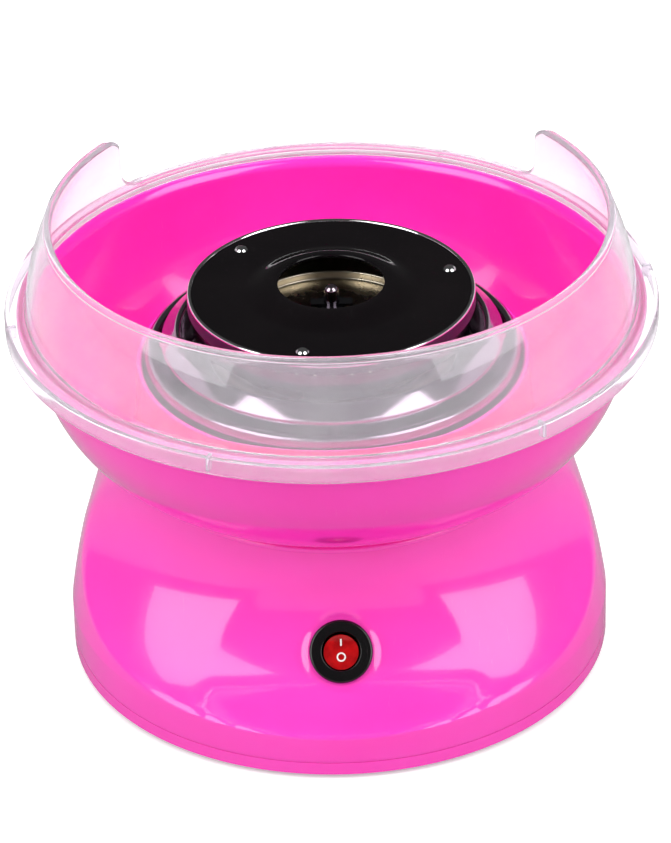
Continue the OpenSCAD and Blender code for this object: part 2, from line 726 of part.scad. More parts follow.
module motor_plate() {
    color(steel) {
        difference() {
            translate([0, 0, motor_plate_z]) cylinder(r = motor_post_circle_r + motor_post_r + 1.5, h = motor_plate_t);
            translate([0, 0, motor_plate_z - 1]) cylinder(r = nose_r + seat_gap, h = 4);
            around(2, motor_screw_circle_r, 90) translate([0, 0, motor_plate_z - 1]) cylinder(r = screw_shank_r + seat_gap, h = 4);
        }
        around(2, motor_post_circle_r, 0) {
            translate([0, 0, deck_z + sheet_t]) cylinder(r = motor_post_r, h = motor_plate_z - deck_z - sheet_t + eps);
            translate([0, 0, deck_z - nut_h - 1]) cylinder(r = screw_shank_r, h = nut_h + sheet_t + 2);
        }
    }
}

module motor_screws() {
    color(steel) around(2, motor_screw_circle_r, 90) translate([0, 0, motor_plate_z + motor_plate_t]) rotate([180, 0, 0])
        screw_up(screw_head_r - 0.3, screw_head_h, screw_shank_r, motor_plate_t + can_t + 3);
    color(steel) around(2, motor_post_circle_r, 0) translate([0, 0, deck_z - nut_h]) difference() {
        cylinder(r = nut_r, h = nut_h, $fn = 6);
        translate([0, 0, -1]) cylinder(r = screw_shank_r + eps, h = 2 * nut_h);
    }
}

module motor_can() {
    color("#a9aaad") difference() {
        union() {
            translate([0, 0, motor_bottom_z]) cylinder(r = motor_r, h = motor_l);
            translate([0, 0, motor_plate_z - eps]) cylinder(r = nose_r, h = nose_h);
        }
        translate([0, 0, motor_bottom_z - eps]) cylinder(r = motor_r - can_t, h = motor_l - can_t);
        translate([0, 0, motor_plate_z - bush_l]) cylinder(r = bush_r, h = 2 * bush_l);
        around(2, motor_screw_circle_r, 90) translate([0, 0, motor_plate_z - 2 * can_t]) cylinder(r = screw_shank_r + seat_gap / 2, h = 4);
    }
}

lead_hole_circle_r = 11;  // the leads go up through two holes in the end cap
lead_hole_r = 1.6;

module motor_end_cap() {
    color("#1d1d20") difference() {
        union() {
            translate([0, 0, motor_bottom_z - motor_cap_t]) cylinder(r = motor_r, h = motor_cap_t);
            ring(motor_r - can_t - seat_gap, motor_r - can_t - 1.6, motor_bottom_z - 1, motor_bottom_z + 3);
        }
        translate([0, 0, motor_bottom_z - bush_l]) cylinder(r = bush_r, h = 2 * bush_l);
        around(2, lead_hole_circle_r, 0) translate([0, 0, motor_bottom_z - 2 * motor_cap_t])
            cylinder(r = lead_hole_r, h = 3 * motor_cap_t);
    }
}

module motor_bushes() {
    color("#a9793a") {
        ring(bush_r, shaft_r + running_gap, motor_plate_z - bush_l + 2, motor_plate_z + nose_h);
        ring(bush_r, shaft_r + running_gap, motor_bottom_z - motor_cap_t, motor_bottom_z);
    }
}

module motor_magnets() {
    color("#3d3c3f") for (a = [0, 180]) rotate([0, 0, a - 65]) rotate_extrude(angle = 130)
        translate([motor_r - can_t - magnet_t, core_z0 - 2]) square([magnet_t, core_z1 - core_z0 + 4]);
}

module motor_brushes() {
    for (a = [0, 180]) rotate([0, 0, a]) {
        color("#2b2b2b") translate([commutator_r + 0.1, -2, commutator_z0 + 1]) cube([4, 4, 4]);
        color("#b8873c") translate([commutator_r + 4.1, -1.5, motor_bottom_z]) cube([0.6, 3, commutator_z0 + 6 - motor_bottom_z]);
        color("#b8873c") translate([commutator_r + 4.1, -1.5, motor_bottom_z]) cube([3.2, 3, 0.6]);
    }
}

module motor_shaft() {
    color("#9b9b9e") difference() {
        union() {
            translate([0, 0, motor_bottom_z - motor_cap_t - 1.5])
                cylinder(r = shaft_r, h = shaft_top_z - shaft_r - motor_bottom_z + motor_cap_t + 1.5);
            translate([0, 0, shaft_top_z - shaft_r]) sphere(r = shaft_r);
        }
        at_drive_pin() cylinder(r = drive_pin_r, h = 4 * shaft_r, center = true);
    }
}

module armature_core() {
    color("#77757a") difference() {
        translate([0, 0, core_z0]) cylinder(r = core_r, h = core_z1 - core_z0);
        translate([0, 0, core_z0 - 1]) cylinder(r = core_bore_r, h = core_z1 - core_z0 + 2);
        around(teeth, core_r - 4.4, 36) translate([0, 0, core_z0 - 1]) cylinder(r = 2.6, h = core_z1 - core_z0 + 2);
        around(teeth, core_r, 36) translate([0, 0, (core_z0 + core_z1) / 2]) cube([6, 1.6, core_z1], center = true);
    }
}

module armature_windings() {
    color("#b5602e") {
        around(teeth, core_r - 4.4, 36) translate([0, 0, core_z0 - 3]) cylinder(r = 2.4, h = core_z1 - core_z0 + 6);
        ring(core_r - 1.4, core_r - 7.4, core_z0 - 3.2, core_z0 - 0.2);
        ring(core_r - 1.4, core_r - 7.4, core_z1 + 0.2, core_z1 + 3.2);
    }
}

module commutator() {
    color("#c07a3a") difference() {
        ring(commutator_r, core_bore_r, commutator_z0, commutator_z0 + commutator_l);
        for (i = [0:teeth - 1]) rotate([0, 0, 360 * i / teeth]) translate([commutator_r - 0.7, -0.3, 0])
            cube([2, 0.6, 4 * motor_plate_z]);
    }
}

// --- spinner head -------------------------------------------------------------------

floor_t = 1.2;
hub_r = 8;
hub_flange_r = 13;
hub_flange_t = 2;
hub_top_z = 160;
hub_z = head_floor_z - hub_flange_t;
drive_pin_z = hub_z + drive_pin_r + 0.6;
plate_t = 1.5;
plate_z = head_top_z - 2.1;
rim_t = 1.8;
rim_depth = 6.5;
slot_ring_t = 1.2;
slot_ring_r = head_r - rim_t - seat_gap;
shelf_z = head_floor_z + floor_t + head_step_h;
shelf_rise = 3;
slot_h = 5;
plate_r = slot_ring_r;
neck_n = 12;
rivet_r = 2.7;
rivet_h = 1.5;

module at_drive_pin() {
    translate([0, 0, drive_pin_z]) rotate([0, 90, 0]) children();
}

module drive_pin() {
    color(steel) at_drive_pin() cylinder(r = drive_pin_r, h = drive_pin_l, center = true);
}

module head_hub() {
    color("#3a393b") difference() {
        union() {
            translate([0, 0, hub_z]) cylinder(r = hub_flange_r, h = hub_flange_t);
            translate([0, 0, hub_z]) cylinder(r = hub_r, h = hub_flange_t + 6);
            translate([0, 0, hub_z + hub_flange_t + 6]) cylinder(r = 6, h = hub_top_z - hub_z - hub_flange_t - 6);
        }
        translate([0, 0, hub_z - 1]) cylinder(r = shaft_r + running_gap, h = hub_top_z);
        translate([0, 0, hub_z - 1 + (drive_pin_r * 2 + 1.6) / 2])
            cube([drive_pin_l + 1, 2 * drive_pin_r + 2 * seat_gap, drive_pin_r * 2 + 1.6], center = true);
    }
}

module head_clip() {
    color("#18181a") {
        difference() {
            translate([-8.6, -2.5, hub_top_z]) cube([17.2, 5, 0.8]);
            translate([0, 0, hub_top_z - 1]) cylinder(r = shaft_r + lift_gap, h = 3);
        }
        for (x = [-1, 1]) translate([x * 8.2 - 0.4, -2.5, hub_top_z - 3]) cube([0.8, 5, 3.4]);
    }
}

module head_lower_dish() {
    r1 = slot_ring_r - slot_ring_t - seat_gap;
    color("#cdbfa6") rotate_extrude($fn = fine) polygon([
        [hub_r + seat_gap, head_floor_z], [head_step_r + floor_t, head_floor_z],
        [head_step_r + floor_t, shelf_z - floor_t], [r1, shelf_z - floor_t + shelf_rise],
        [r1, shelf_z + shelf_rise + 2], [r1 - floor_t, shelf_z + shelf_rise + 2],
        [r1 - floor_t, shelf_z + shelf_rise], [head_step_r, shelf_z],
        [head_step_r, head_floor_z + floor_t], [hub_r + seat_gap, head_floor_z + floor_t]
    ]);
}

module head_slot_ring() {
    z0 = shelf_z - floor_t;
    color("#b9b9bc") difference() {
        ring(slot_ring_r, slot_ring_r - slot_ring_t, z0, plate_z);
        around(slot_count, slot_ring_r) translate([0, 0, plate_z - 1.5 - slot_h / 2])
            cube([6 * slot_ring_t, slot_w, slot_h], center = true);
    }
}

// top surface of the plate at radius r: a flat disc that rises to the lip of the sugar hole
function plate_top(r) = let (u = min(1, max(0, (neck_foot_r - r) / (neck_foot_r - sugar_hole_r - plate_t))))
    plate_z + plate_t + (sugar_lip_z - plate_z - plate_t) * (1 - cos(180 * u)) / 2;

module head_top_plate() {
    neck = [for (i = [0:neck_n]) sugar_hole_r + plate_t + (neck_foot_r - sugar_hole_r - plate_t) * i / neck_n];
    color("#0a0a0c") difference() {
        rotate_extrude($fn = fine) polygon(concat(
            [[sugar_hole_r, sugar_lip_z - plate_t / 2]], [for (r = neck) [r, plate_top(r)]],
            [[plate_r, plate_z + plate_t], [plate_r, plate_z]],
            [for (r = reversed(neck)) [r, plate_top(r) - plate_t]], [[sugar_hole_r, sugar_lip_z - plate_t]]
        ));
        at_rivets() translate([0, 0, plate_z - 1]) cylinder(r = rivet_pin_r + seat_gap, h = 4);
    }
}
rivet_pin_r = 1.4;
rivet_post_r = 2.4;

module head_rim_ring() {
    color("#dcdcde") rotate_extrude($fn = fine) {
        translate([head_r - rim_t, head_top_z - rim_depth]) square([rim_t, rim_depth - rim_t / 2]);
        translate([head_r - rim_t / 2, head_top_z - rim_t / 2]) circle(r = rim_t / 2);
    }
}

module at_rivets() {
    around(3, rivet_circle_r, rivet_angle) children();
}

module head_rivets() {
    post_z = shelf_z + shelf_rise * (rivet_circle_r - head_step_r) / (slot_ring_r - slot_ring_t - head_step_r) + 0.6;
    color("#e6e6e8") at_rivets() {
        translate([0, 0, post_z]) cylinder(r = rivet_post_r, h = plate_z - post_z);
        translate([0, 0, plate_z - eps]) cylinder(r = rivet_pin_r, h = plate_t + 2 * eps);
        translate([0, 0, plate_z + plate_t]) intersection() {
            cylinder(r = rivet_r, h = rivet_h);
            translate([0, 0, rivet_h - dome_r]) sphere(r = dome_r);
        }
    }
}
dome_r = (rivet_r * rivet_r + rivet_h * rivet_h) / (2 * rivet_h);

// --- bowl ---------------------------------------------------------------------------

bowl_n = 18;
rim_flare_r = 5;
rim_drop = 3;
bowl_foot_r = collar_r + 2.6;
collar_base_r = collar_r + 7;

// point of the bowl's curve, t from the low point (0) to the upright wall (90); d is the depth in the wall
function bowl_point(t, d) = [
    bowl_low_r + (bowl_r - bowl_low_r - d) * sin(t),
    bowl_round_z - (bowl_round_z - bowl_low_z - d) * cos(t)
];
function bowl_angle(r, d) = asin((r - bowl_low_r) / (bowl_r - bowl_low_r - d));

module bowl() {
    flare_c = [bowl_r - bowl_wall + rim_flare_r, bowl_rim_z - rim_flare_r];
    a_in = bowl_angle(collar_base_r, bowl_wall);
    a_out = bowl_angle(bowl_foot_r, 0);
    color(pink) rotate_extrude($fn = fine) polygon(concat(
        [[collar_r, deck_z], [collar_r, collar_z - bowl_wall / 2]],
        arc([collar_r + bowl_wall / 2, collar_z - bowl_wall / 2], bowl_wall / 2, 180, 0, arc_n),
        [for (i = [0:bowl_n]) bowl_point(a_in + (90 - a_in) * i / bowl_n, bowl_wall)],
        arc(flare_c, rim_flare_r, 180, 90, arc_n),
        [[bowl_rim_r - 1, bowl_rim_z], [bowl_rim_r, bowl_rim_z - 1], [bowl_rim_r, bowl_rim_z - rim_drop]],
        [[bowl_rim_r - bowl_wall + 1, bowl_rim_z - rim_drop], [bowl_rim_r - bowl_wall + 1, bowl_rim_z - bowl_wall]],
        arc(flare_c, rim_flare_r - bowl_wall, 90, 180, arc_n),
        [for (i = [bowl_n:-1:0]) bowl_point(a_out + (90 - a_out) * i / bowl_n, 0)],
        [[bowl_foot_r, deck_z]]
    ));
}

// --- splash guard -------------------------------------------------------------------

flange_z = bowl_rim_z + guard_t;
bead_z = guard_top_z - bead_r;
bead_step = 0.3;          // the bead stands this far outside the wall
foot_step = 0.5;          // the flange reaches this far inside the wall's foot
guard_c = arc_centre([guard_foot_r, flange_z], [guard_rim_r - bead_step, bead_z], guard_arc_r);
horn_r = 12;
horn_lift = 0.3;          // the horn's round ends above the bead, so it never only touches it
horn_z = guard_top_z + horn_lift - horn_r;
rib_count = 6;
rib_angle = -112;
rib_w = 1.6;
rib_gap = 0.6;

module guard_profile() {
    intersection() {
        translate([guard_rim_r - 3 * guard_t, flange_z - guard_t / 2]) square([guard_r, bead_z - flange_z + guard_t / 2]);
        difference() {
            translate(guard_c) circle(r = guard_arc_r, $fn = 4 * fine);
            translate(guard_c) circle(r = guard_arc_r - guard_t, $fn = 4 * fine);
        }
    }
    translate([guard_rim_r - bead_r, bead_z]) circle(r = bead_r, $fn = 48);
    translate([guard_foot_r - guard_t - foot_step, bowl_rim_z]) square([guard_r - guard_foot_r + foot_step, guard_t]);
    translate([guard_r - guard_t, flange_z - skirt_h]) square([guard_t, skirt_h - guard_t]);
    translate([guard_r - guard_t, bowl_rim_z]) intersection() {
        circle(r = guard_t);
        square([guard_t, guard_t]);
    }
}

module gap_outline() {
    z0 = flange_z + gap_lip_h;
    translate([-gap_half_w, z0 + gap_fillet_r]) square([2 * gap_half_w, guard_top_z]);
    translate([-gap_half_w + gap_fillet_r, z0]) square([2 * (gap_half_w - gap_fillet_r), guard_top_z]);
    for (x = [-1, 1]) translate([x * (gap_half_w - gap_fillet_r), z0 + gap_fillet_r]) circle(r = gap_fillet_r);
    difference() {
        translate([-gap_half_w - horn_r, horn_z]) square([2 * (gap_half_w + horn_r), 2 * horn_r]);
        for (x = [-1, 1]) translate([x * (gap_half_w + horn_r), horn_z]) circle(r = horn_r);
    }
}

module splash_guard() {
    color([0.95, 0.88, 0.93, 0.45]) difference() {
        union() {
            rotate_extrude($fn = fine) guard_profile();
            around(rib_count, bowl_rim_r + rib_gap, rib_angle) translate([0, -rib_w / 2, flange_z - skirt_h + 1])
                cube([guard_r - guard_t / 2 - bowl_rim_r - rib_gap, rib_w, skirt_h - guard_t / 2 - 1]);
        }
        translate([0, 2 * guard_r, 0]) rotate([90, 0, 0]) linear_extrude(2 * guard_r - guard_r / 6) gap_outline();
    }
}

base_housing();
bottom_cover();
rubber_feet();
cover_screws();
cord_grommet();
cord_clamp();
clamp_screws();
terminal_block();
rectifier_board();
board_capacitor();
board_diodes();
board_screws();
wiring();
switch_body();
switch_terminals();
switch_rocker();
rocker_marks();
heat_shield();
shield_screws();
heat_pan();
pan_spacers();
pan_screws();
pan_nuts();
heating_element();
element_insulators();
element_clips();
thermal_cutout();
motor_plate();
motor_screws();
motor_can();
motor_end_cap();
motor_bushes();
motor_magnets();
motor_brushes();
motor_shaft();
armature_core();
armature_windings();
commutator();
drive_pin();
head_hub();
head_clip();
head_lower_dish();
head_slot_ring();
head_top_plate();
head_rim_ring();
head_rivets();
bowl();
splash_guard();
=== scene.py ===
# Cotton candy machine: the looks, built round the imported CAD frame.
import json
import math

import bpy
import numpy as np
from mathutils import Matrix, Vector


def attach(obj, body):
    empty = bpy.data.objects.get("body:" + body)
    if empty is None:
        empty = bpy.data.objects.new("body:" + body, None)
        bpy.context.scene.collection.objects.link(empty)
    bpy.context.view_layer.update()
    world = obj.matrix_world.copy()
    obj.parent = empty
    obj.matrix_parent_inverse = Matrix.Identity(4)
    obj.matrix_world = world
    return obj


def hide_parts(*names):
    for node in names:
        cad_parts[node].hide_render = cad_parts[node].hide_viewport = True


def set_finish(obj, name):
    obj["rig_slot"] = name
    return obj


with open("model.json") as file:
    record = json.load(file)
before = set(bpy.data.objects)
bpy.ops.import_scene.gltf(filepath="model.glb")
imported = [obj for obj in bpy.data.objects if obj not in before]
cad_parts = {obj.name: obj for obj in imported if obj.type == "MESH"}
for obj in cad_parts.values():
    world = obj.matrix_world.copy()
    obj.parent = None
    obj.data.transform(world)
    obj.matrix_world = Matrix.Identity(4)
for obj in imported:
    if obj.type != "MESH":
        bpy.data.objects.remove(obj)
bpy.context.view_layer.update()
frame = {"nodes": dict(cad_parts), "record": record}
mm = 0.001
fullTurn = 2 * math.pi
creaseAngle = 40
farAway = 1000
print("frame loaded")


# modelling helpers

def clearSelection():
    if bpy.context.object and bpy.context.object.mode != "OBJECT":
        bpy.ops.object.mode_set(mode="OBJECT")
    bpy.ops.object.select_all(action="DESELECT")


def makeActive(piece):
    clearSelection()
    piece.select_set(True)
    bpy.context.view_layer.objects.active = piece


def arcPoints(centre, radius, fromAngle, toAngle, count):
    points = []
    for i in range(count + 1):
        angle = math.radians(fromAngle + (toAngle - fromAngle) * i / count)
        points.append((centre[0] + radius * math.cos(angle), centre[1] + radius * math.sin(angle)))
    return points


def straight(start, end, count):
    # the points after start, up to end, evenly apart
    return [(start[0] + (end[0] - start[0]) * i / count, start[1] + (end[1] - start[1]) * i / count)
            for i in range(1, count + 1)]


def drawOutline(name, points):
    # a plane drawn together to one point, which is pushed along the outline
    clearSelection()
    here = Vector((points[0][0] * mm, 0, points[0][1] * mm))
    bpy.ops.mesh.primitive_plane_add(size=mm, location=here)
    piece = bpy.context.active_object
    piece.name = name
    piece.data.name = name
    bpy.ops.object.mode_set(mode="EDIT")
    bpy.ops.mesh.merge(type="CENTER")
    for radius, height in points[1:]:
        there = Vector((radius * mm, 0, height * mm))
        bpy.ops.mesh.extrude_region_move(TRANSFORM_OT_translate={"value": there - here})
        here = there
    return piece


def tidyMesh(piece, angle=30):
    # joins doubles, turns the faces out and smooths all but the sharp edges
    makeActive(piece)
    bpy.ops.object.transform_apply(location=True, rotation=True, scale=True)
    bpy.ops.object.mode_set(mode="EDIT")
    bpy.ops.mesh.select_all(action="SELECT")
    bpy.ops.mesh.remove_doubles(threshold=0.004 * mm)
    bpy.ops.mesh.normals_make_consistent(inside=False)
    bpy.ops.object.mode_set(mode="OBJECT")
    bpy.ops.object.shade_smooth_by_angle(angle=math.radians(angle))
    return piece


def lathe(name, points, steps=192, closed=True, angle=30):
    outline = list(points) + ([points[0]] if closed else [])
    piece = drawOutline(name, outline)
    bpy.ops.mesh.select_all(action="SELECT")
    bpy.ops.mesh.spin(steps=steps, angle=fullTurn, center=(0, 0, 0), axis=(0, 0, 1))
    bpy.ops.object.mode_set(mode="OBJECT")
    return tidyMesh(piece, angle)


def applyModifier(piece, kind, **settings):
    makeActive(piece)
    modifier = piece.modifiers.new(kind.title(), kind)
    for key, value in settings.items():
        setattr(modifier, key, value)
    bpy.ops.object.modifier_apply(modifier=modifier.name)


def cutWith(piece, cutter):
    applyModifier(piece, "BOOLEAN", operation="DIFFERENCE", object=cutter, solver="EXACT")
    bpy.data.objects.remove(cutter)


def copyTurned(piece, name, angle):
    twin = piece.copy()
    twin.data = piece.data.copy()
    twin.name = name
    twin.data.name = name
    bpy.context.scene.collection.objects.link(twin)
    twin.data.transform(Matrix.Rotation(angle, 4, "Z"))
    return twin


def joinPieces(pieces, name):
    makeActive(pieces[0])
    for piece in pieces[1:]:
        piece.select_set(True)
    bpy.ops.object.join()
    pieces[0].name = name
    pieces[0].data.name = name
    return pieces[0]


def settle(piece, body, nodes, slot):
    makeActive(piece)
    bpy.ops.object.transform_apply(location=True, rotation=True, scale=True)
    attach(piece, body)
    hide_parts(*nodes)
    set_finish(piece, slot)
    return piece


# base shell

shell = {
    "radius": 114, "lowZ": 8.15, "bendZ": 22, "topZ": 93, "deckRadius": 95.5, "sideArc": 310,
    "collarRadius": 84, "collarZ": 90.6, "wall": 2.5, "deckHole": 60, "edge": 1.2,
    "waist": 70, "scoopArc": 65, "scoopZ": 82, "scoopBack": 45,
    "dishReach": 118.3, "dishArc": 47.2, "dishZ": 68.8, "dishBack": 124.2, "soft": 1.5, "dishSoft": 0.7,
    "seatZ": 40.5, "seatY": -80.53, "seatLift": 0.95, "seatFlat": 13.5, "seatBlend": 16.5,
    "hole": 10.1, "seatTilt": 36.84, "seatDepth": 12, "inletHole": 4.7, "inletZ": 13.6, "crowd": 0.4,
    "steps": 400, "rowStep": 1.05, "rowCount": 63, "footRound": 0.5, "collarEdge": 0.8, "drill": 30,
}


def circleCentre(start, end, radius):
    # centre of the arc through two points, on the left of the way from the first to the second
    middle = ((start[0] + end[0]) / 2, (start[1] + end[1]) / 2)
    across = (end[0] - start[0], end[1] - start[1])
    half = math.hypot(*across) / 2
    reach = math.sqrt(radius ** 2 - half ** 2)
    return (middle[0] - across[1] / (2 * half) * reach, middle[1] + across[0] / (2 * half) * reach)


def sideRows():
    s = shell
    centre = circleCentre((s["radius"], s["bendZ"]), (s["deckRadius"], s["topZ"]), s["sideArc"])
    heights = [s["bendZ"] + s["rowStep"] * i for i in range(1, s["rowCount"] + 1)]
    rows = [(centre[0] + math.sqrt(s["sideArc"] ** 2 - (z - centre[1]) ** 2), z) for z in heights]
    return centre, rows


def softLess(a, b, soft):
    # the smaller of two distances, with the ridge between them rounded
    mix = np.clip(0.5 + 0.5 * (b - a) / soft, 0, 1)
    return b * (1 - mix) + a * mix - soft * mix * (1 - mix)


def scoopReach(angleCos, angleSin, z, waist, arc, midZ, back):
    # distance from the spindle to a scooped face whose plan is a circle centred behind the spindle
    depth = np.abs(z - midZ)
    ring = waist + back + arc - np.sqrt(np.maximum(arc ** 2 - depth ** 2, 0))
    inside = np.maximum(ring ** 2 - (back * angleSin) ** 2, 0)
    reach = -back * angleCos + np.sqrt(inside)
    return np.where(depth < arc, reach, farAway)


def blendedReach(angle, sideRadius, z):
    s = shell
    angleCos, angleSin = np.cos(angle), np.sin(angle)
    scoop = scoopReach(np.abs(angleCos), angleSin, z, s["waist"], s["scoopArc"], s["scoopZ"], s["scoopBack"])
    dishWaist = s["dishReach"] - s["dishArc"]
    dish = scoopReach(angleCos, angleSin, z, dishWaist, s["dishArc"], s["dishZ"], s["dishBack"])
    dish = np.where(angleCos > 0, dish, farAway)
    return softLess(softLess(sideRadius, scoop, s["soft"]), dish, s["dishSoft"])


def shapeShell(piece):
    # rows drawn closer together towards the front, then pressed in to the scoops and the switch's seat
    s = shell
    count = len(piece.data.vertices)
    flat = np.empty(count * 3)
    piece.data.vertices.foreach_get("co", flat)
    points = flat.reshape(-1, 3) / mm
    radius = np.hypot(points[:, 0], points[:, 1])
    angle = np.arctan2(points[:, 0], -points[:, 1])
    angle = angle - s["crowd"] * np.sin(angle)
    z = points[:, 2]
    # the deck is drawn in evenly from its edge to its hole, so its rows never meet
    deckEdge = s["deckRadius"] - s["edge"]
    pulled = np.maximum(s["deckRadius"] - blendedReach(angle, s["deckRadius"], z), 0)
    share = np.clip((radius - s["deckHole"]) / (deckEdge - s["deckHole"]), 0, 1)
    pressed = np.minimum(radius, blendedReach(angle, radius, z))
    radius = np.where(z > s["topZ"] - s["edge"] - 0.2, radius - pulled * share, pressed)
    points[:, 0] = radius * np.sin(angle)
    points[:, 1] = -radius * np.cos(angle)
    tilt = math.radians(s["seatTilt"])
    outward = np.array([0, -math.cos(tilt), math.sin(tilt)])
    upward = np.array([0, math.sin(tilt), math.cos(tilt)])
    rel = points - np.array([0, s["seatY"], s["seatZ"]])
    high = rel @ outward
    far = np.hypot(rel[:, 0], rel @ upward)
    hold = np.clip((s["seatBlend"] - far) / (s["seatBlend"] - s["seatFlat"]), 0, 1)
    hold = hold * hold * (3 - 2 * hold) * (np.abs(high) < s["seatDepth"])
    points += np.outer((s["seatLift"] - high) * hold, outward)
    piece.data.vertices.foreach_set("co", (points * mm).ravel())
    piece.data.update()


def tiltedCylinder(radius, depth, centre, outward, sides):
    clearSelection()
    bpy.ops.mesh.primitive_cylinder_add(radius=radius * mm, depth=depth * mm, vertices=sides,
                                        location=Vector(centre) * mm,
                                        rotation=Vector(outward).to_track_quat("Z", "Y").to_euler())
    return bpy.context.active_object


def makeShell():
    s = shell
    centre, rows = sideRows()
    rim, foot = s["edge"], s["footRound"]
    outline = [(s["radius"] - foot, s["lowZ"]), (s["radius"] - 0.1, s["lowZ"] + 0.1)]
    outline += [(s["radius"], s["lowZ"] + foot)]
    outline += straight(outline[-1], (s["radius"], s["bendZ"] - 7), 4)
    outline += straight(outline[-1], (s["radius"], s["bendZ"]), 10)
    outline += rows
    outline += arcPoints((s["deckRadius"] - rim + 0.1, s["topZ"] - rim - 0.1), rim, 8, 90, 6)
    outline += straight(outline[-1], (s["deckHole"] + 1, s["topZ"] - 0.1), 6)
    wall = lathe("base_shell", outline, s["steps"], closed=False)
    shapeShell(wall)
    applyModifier(wall, "SOLIDIFY", thickness=s["wall"] * mm, offset=-1)
    tilt = math.radians(s["seatTilt"])
    outward = (0, -math.cos(tilt), math.sin(tilt))
    cutWith(wall, tiltedCylinder(s["hole"], s["drill"], (0, s["seatY"], s["seatZ"]), outward, 64))
    cutWith(wall, tiltedCylinder(s["inletHole"], s["drill"], (0, s["radius"], s["inletZ"]), (0, 1, 0), 48))
    deck, low = s["topZ"], s["collarZ"]
    outer, inner, edge = s["collarRadius"], s["deckHole"], s["collarEdge"]
    disc = lathe("deck_collar", [(inner, low), (outer - edge, low)]
                 + arcPoints((outer - edge, low + edge), edge, -80, 0, 5)
                 + arcPoints((outer - edge, deck - edge), edge, 0, 90, 6)
                 + straight((outer - edge, deck), (inner, deck), 3), 256)
    joined = joinPieces([wall, disc], "base_shell")
    makeActive(joined)
    bpy.ops.object.shade_smooth_by_angle(angle=math.radians(creaseAngle))
    return settle(joined, "base", ["base_housing"], "pink_plastic")


baseShell = makeShell()
print("base shell made")


# bowl

bowl = {
    "radius": 124.4, "roundZ": 157, "lowZ": 94.6, "lowRadius": 71.2, "wall": 2.2,
    "rimZ": 162, "rimRadius": 130, "flare": 5, "drop": 3,
    "collarRadius": 79.5, "collarZ": 136, "footRadius": 82.1, "collarBase": 86.5, "deckZ": 93, "fillet": 2.6,
}


def bowlPoint(angle, depth):
    b = bowl
    turn = math.radians(angle)
    return (b["lowRadius"] + (b["radius"] - b["lowRadius"] - depth) * math.sin(turn),
            b["roundZ"] - (b["roundZ"] - b["lowZ"] - depth) * math.cos(turn))


def bowlAngle(radius, depth):
    b = bowl
    return math.degrees(math.asin((radius - b["lowRadius"]) / (b["radius"] - b["lowRadius"] - depth)))


def makeBowl():
    b = bowl
    wall, rimZ, rimRadius = b["wall"], b["rimZ"], b["rimRadius"]
    flare = (b["radius"] - wall + b["flare"], rimZ - b["flare"])
    fromIn, fromOut = bowlAngle(b["collarBase"], wall), bowlAngle(b["footRadius"], 0)
    count = 56
    outline = [(b["collarRadius"], b["deckZ"])]
    outline += straight(outline[-1], (b["collarRadius"], b["collarZ"] - wall / 2), 6)
    outline += arcPoints((b["collarRadius"] + wall / 2, b["collarZ"] - wall / 2), wall / 2, 180, 0, 8)[1:]
    foot = bowlPoint(fromIn, wall)
    top = outline[-1]
    outline += straight(top, (foot[0] - b["fillet"], foot[1] + b["fillet"] * 1.6), 8)
    outline += [(foot[0] - b["fillet"] * 0.62, foot[1] + b["fillet"] * 0.6)]
    outline += [(foot[0] - b["fillet"] * 0.1, foot[1] + b["fillet"] * 0.12)]
    outline += [bowlPoint(fromIn + (90 - fromIn) * i / count, wall) for i in range(1, count + 1)]
    outline += arcPoints(flare, b["flare"], 180, 90, 10)
    outline += [(rimRadius - 1, rimZ), (rimRadius - 0.3, rimZ - 0.3), (rimRadius, rimZ - 1)]
    outline += [(rimRadius, rimZ - b["drop"])]
    outline += [(rimRadius - wall + 1, rimZ - b["drop"]), (rimRadius - wall + 1, rimZ - wall)]
    outline += arcPoints(flare, b["flare"] - wall, 90, 180, 8)
    outline += [bowlPoint(90 - (90 - fromOut) * i / count, 0) for i in range(count + 1)]
    outline += [(b["footRadius"], b["deckZ"])]
    piece = lathe("bowl_shell", outline, 288, angle=creaseAngle)
    return settle(piece, "bowl", ["bowl"], "pink_plastic")


bowlShell = makeBowl()
print("bowl made")


# splash guard

guard = {
    "radius": 135, "flangeZ": 164, "skirtZ": 156, "wall": 2, "footRadius": 126.5, "rimRadius": 117,
    "bead": 1.7, "topZ": 202, "arc": 110, "beadStep": 0.3,
    "gapHalf": 88, "gapZ": 167, "fillet": 8, "horn": 12, "hornLift": 0.3,
    "ribs": 6, "ribAngle": -112, "ribWidth": 1.6, "ribFrom": 130.6,
}


def guardOutline():
    g = guard
    thick, edge = g["wall"], 0.5
    beadZ = g["topZ"] - g["bead"]
    foot, top = (g["footRadius"], g["flangeZ"]), (g["rimRadius"] - g["beadStep"], beadZ)
    centre = circleCentre(foot, top, g["arc"])
    low = math.degrees(math.atan2(foot[1] - centre[1], foot[0] - centre[0]))
    high = math.degrees(math.atan2(top[1] - centre[1], top[0] - centre[0]))
    radius, underZ = g["radius"], g["flangeZ"] - thick
    outline = [(radius - thick, g["skirtZ"])]
    outline += arcPoints((radius - edge, g["skirtZ"] + edge), edge, -90, 0, 4)
    outline += arcPoints((radius - thick, underZ), thick, 0, 90, 8)
    outline += straight(outline[-1], (g["footRadius"] + 1.2, g["flangeZ"]), 3)
    outline += [(g["footRadius"] + 0.45, g["flangeZ"] + 0.3), (g["footRadius"] + 0.02, g["flangeZ"] + 1.2)]
    outline += arcPoints(centre, g["arc"], low + 1, high - 0.6, 22)
    outline += arcPoints((g["rimRadius"] - g["bead"], beadZ), g["bead"], -25, 215, 16)
    outline += arcPoints(centre, g["arc"] - thick, high - 0.9, low, 22)
    inner = outline[-1][0]
    outline += [(inner, underZ + edge), (inner + edge, underZ), (radius - thick, underZ)]
    return outline


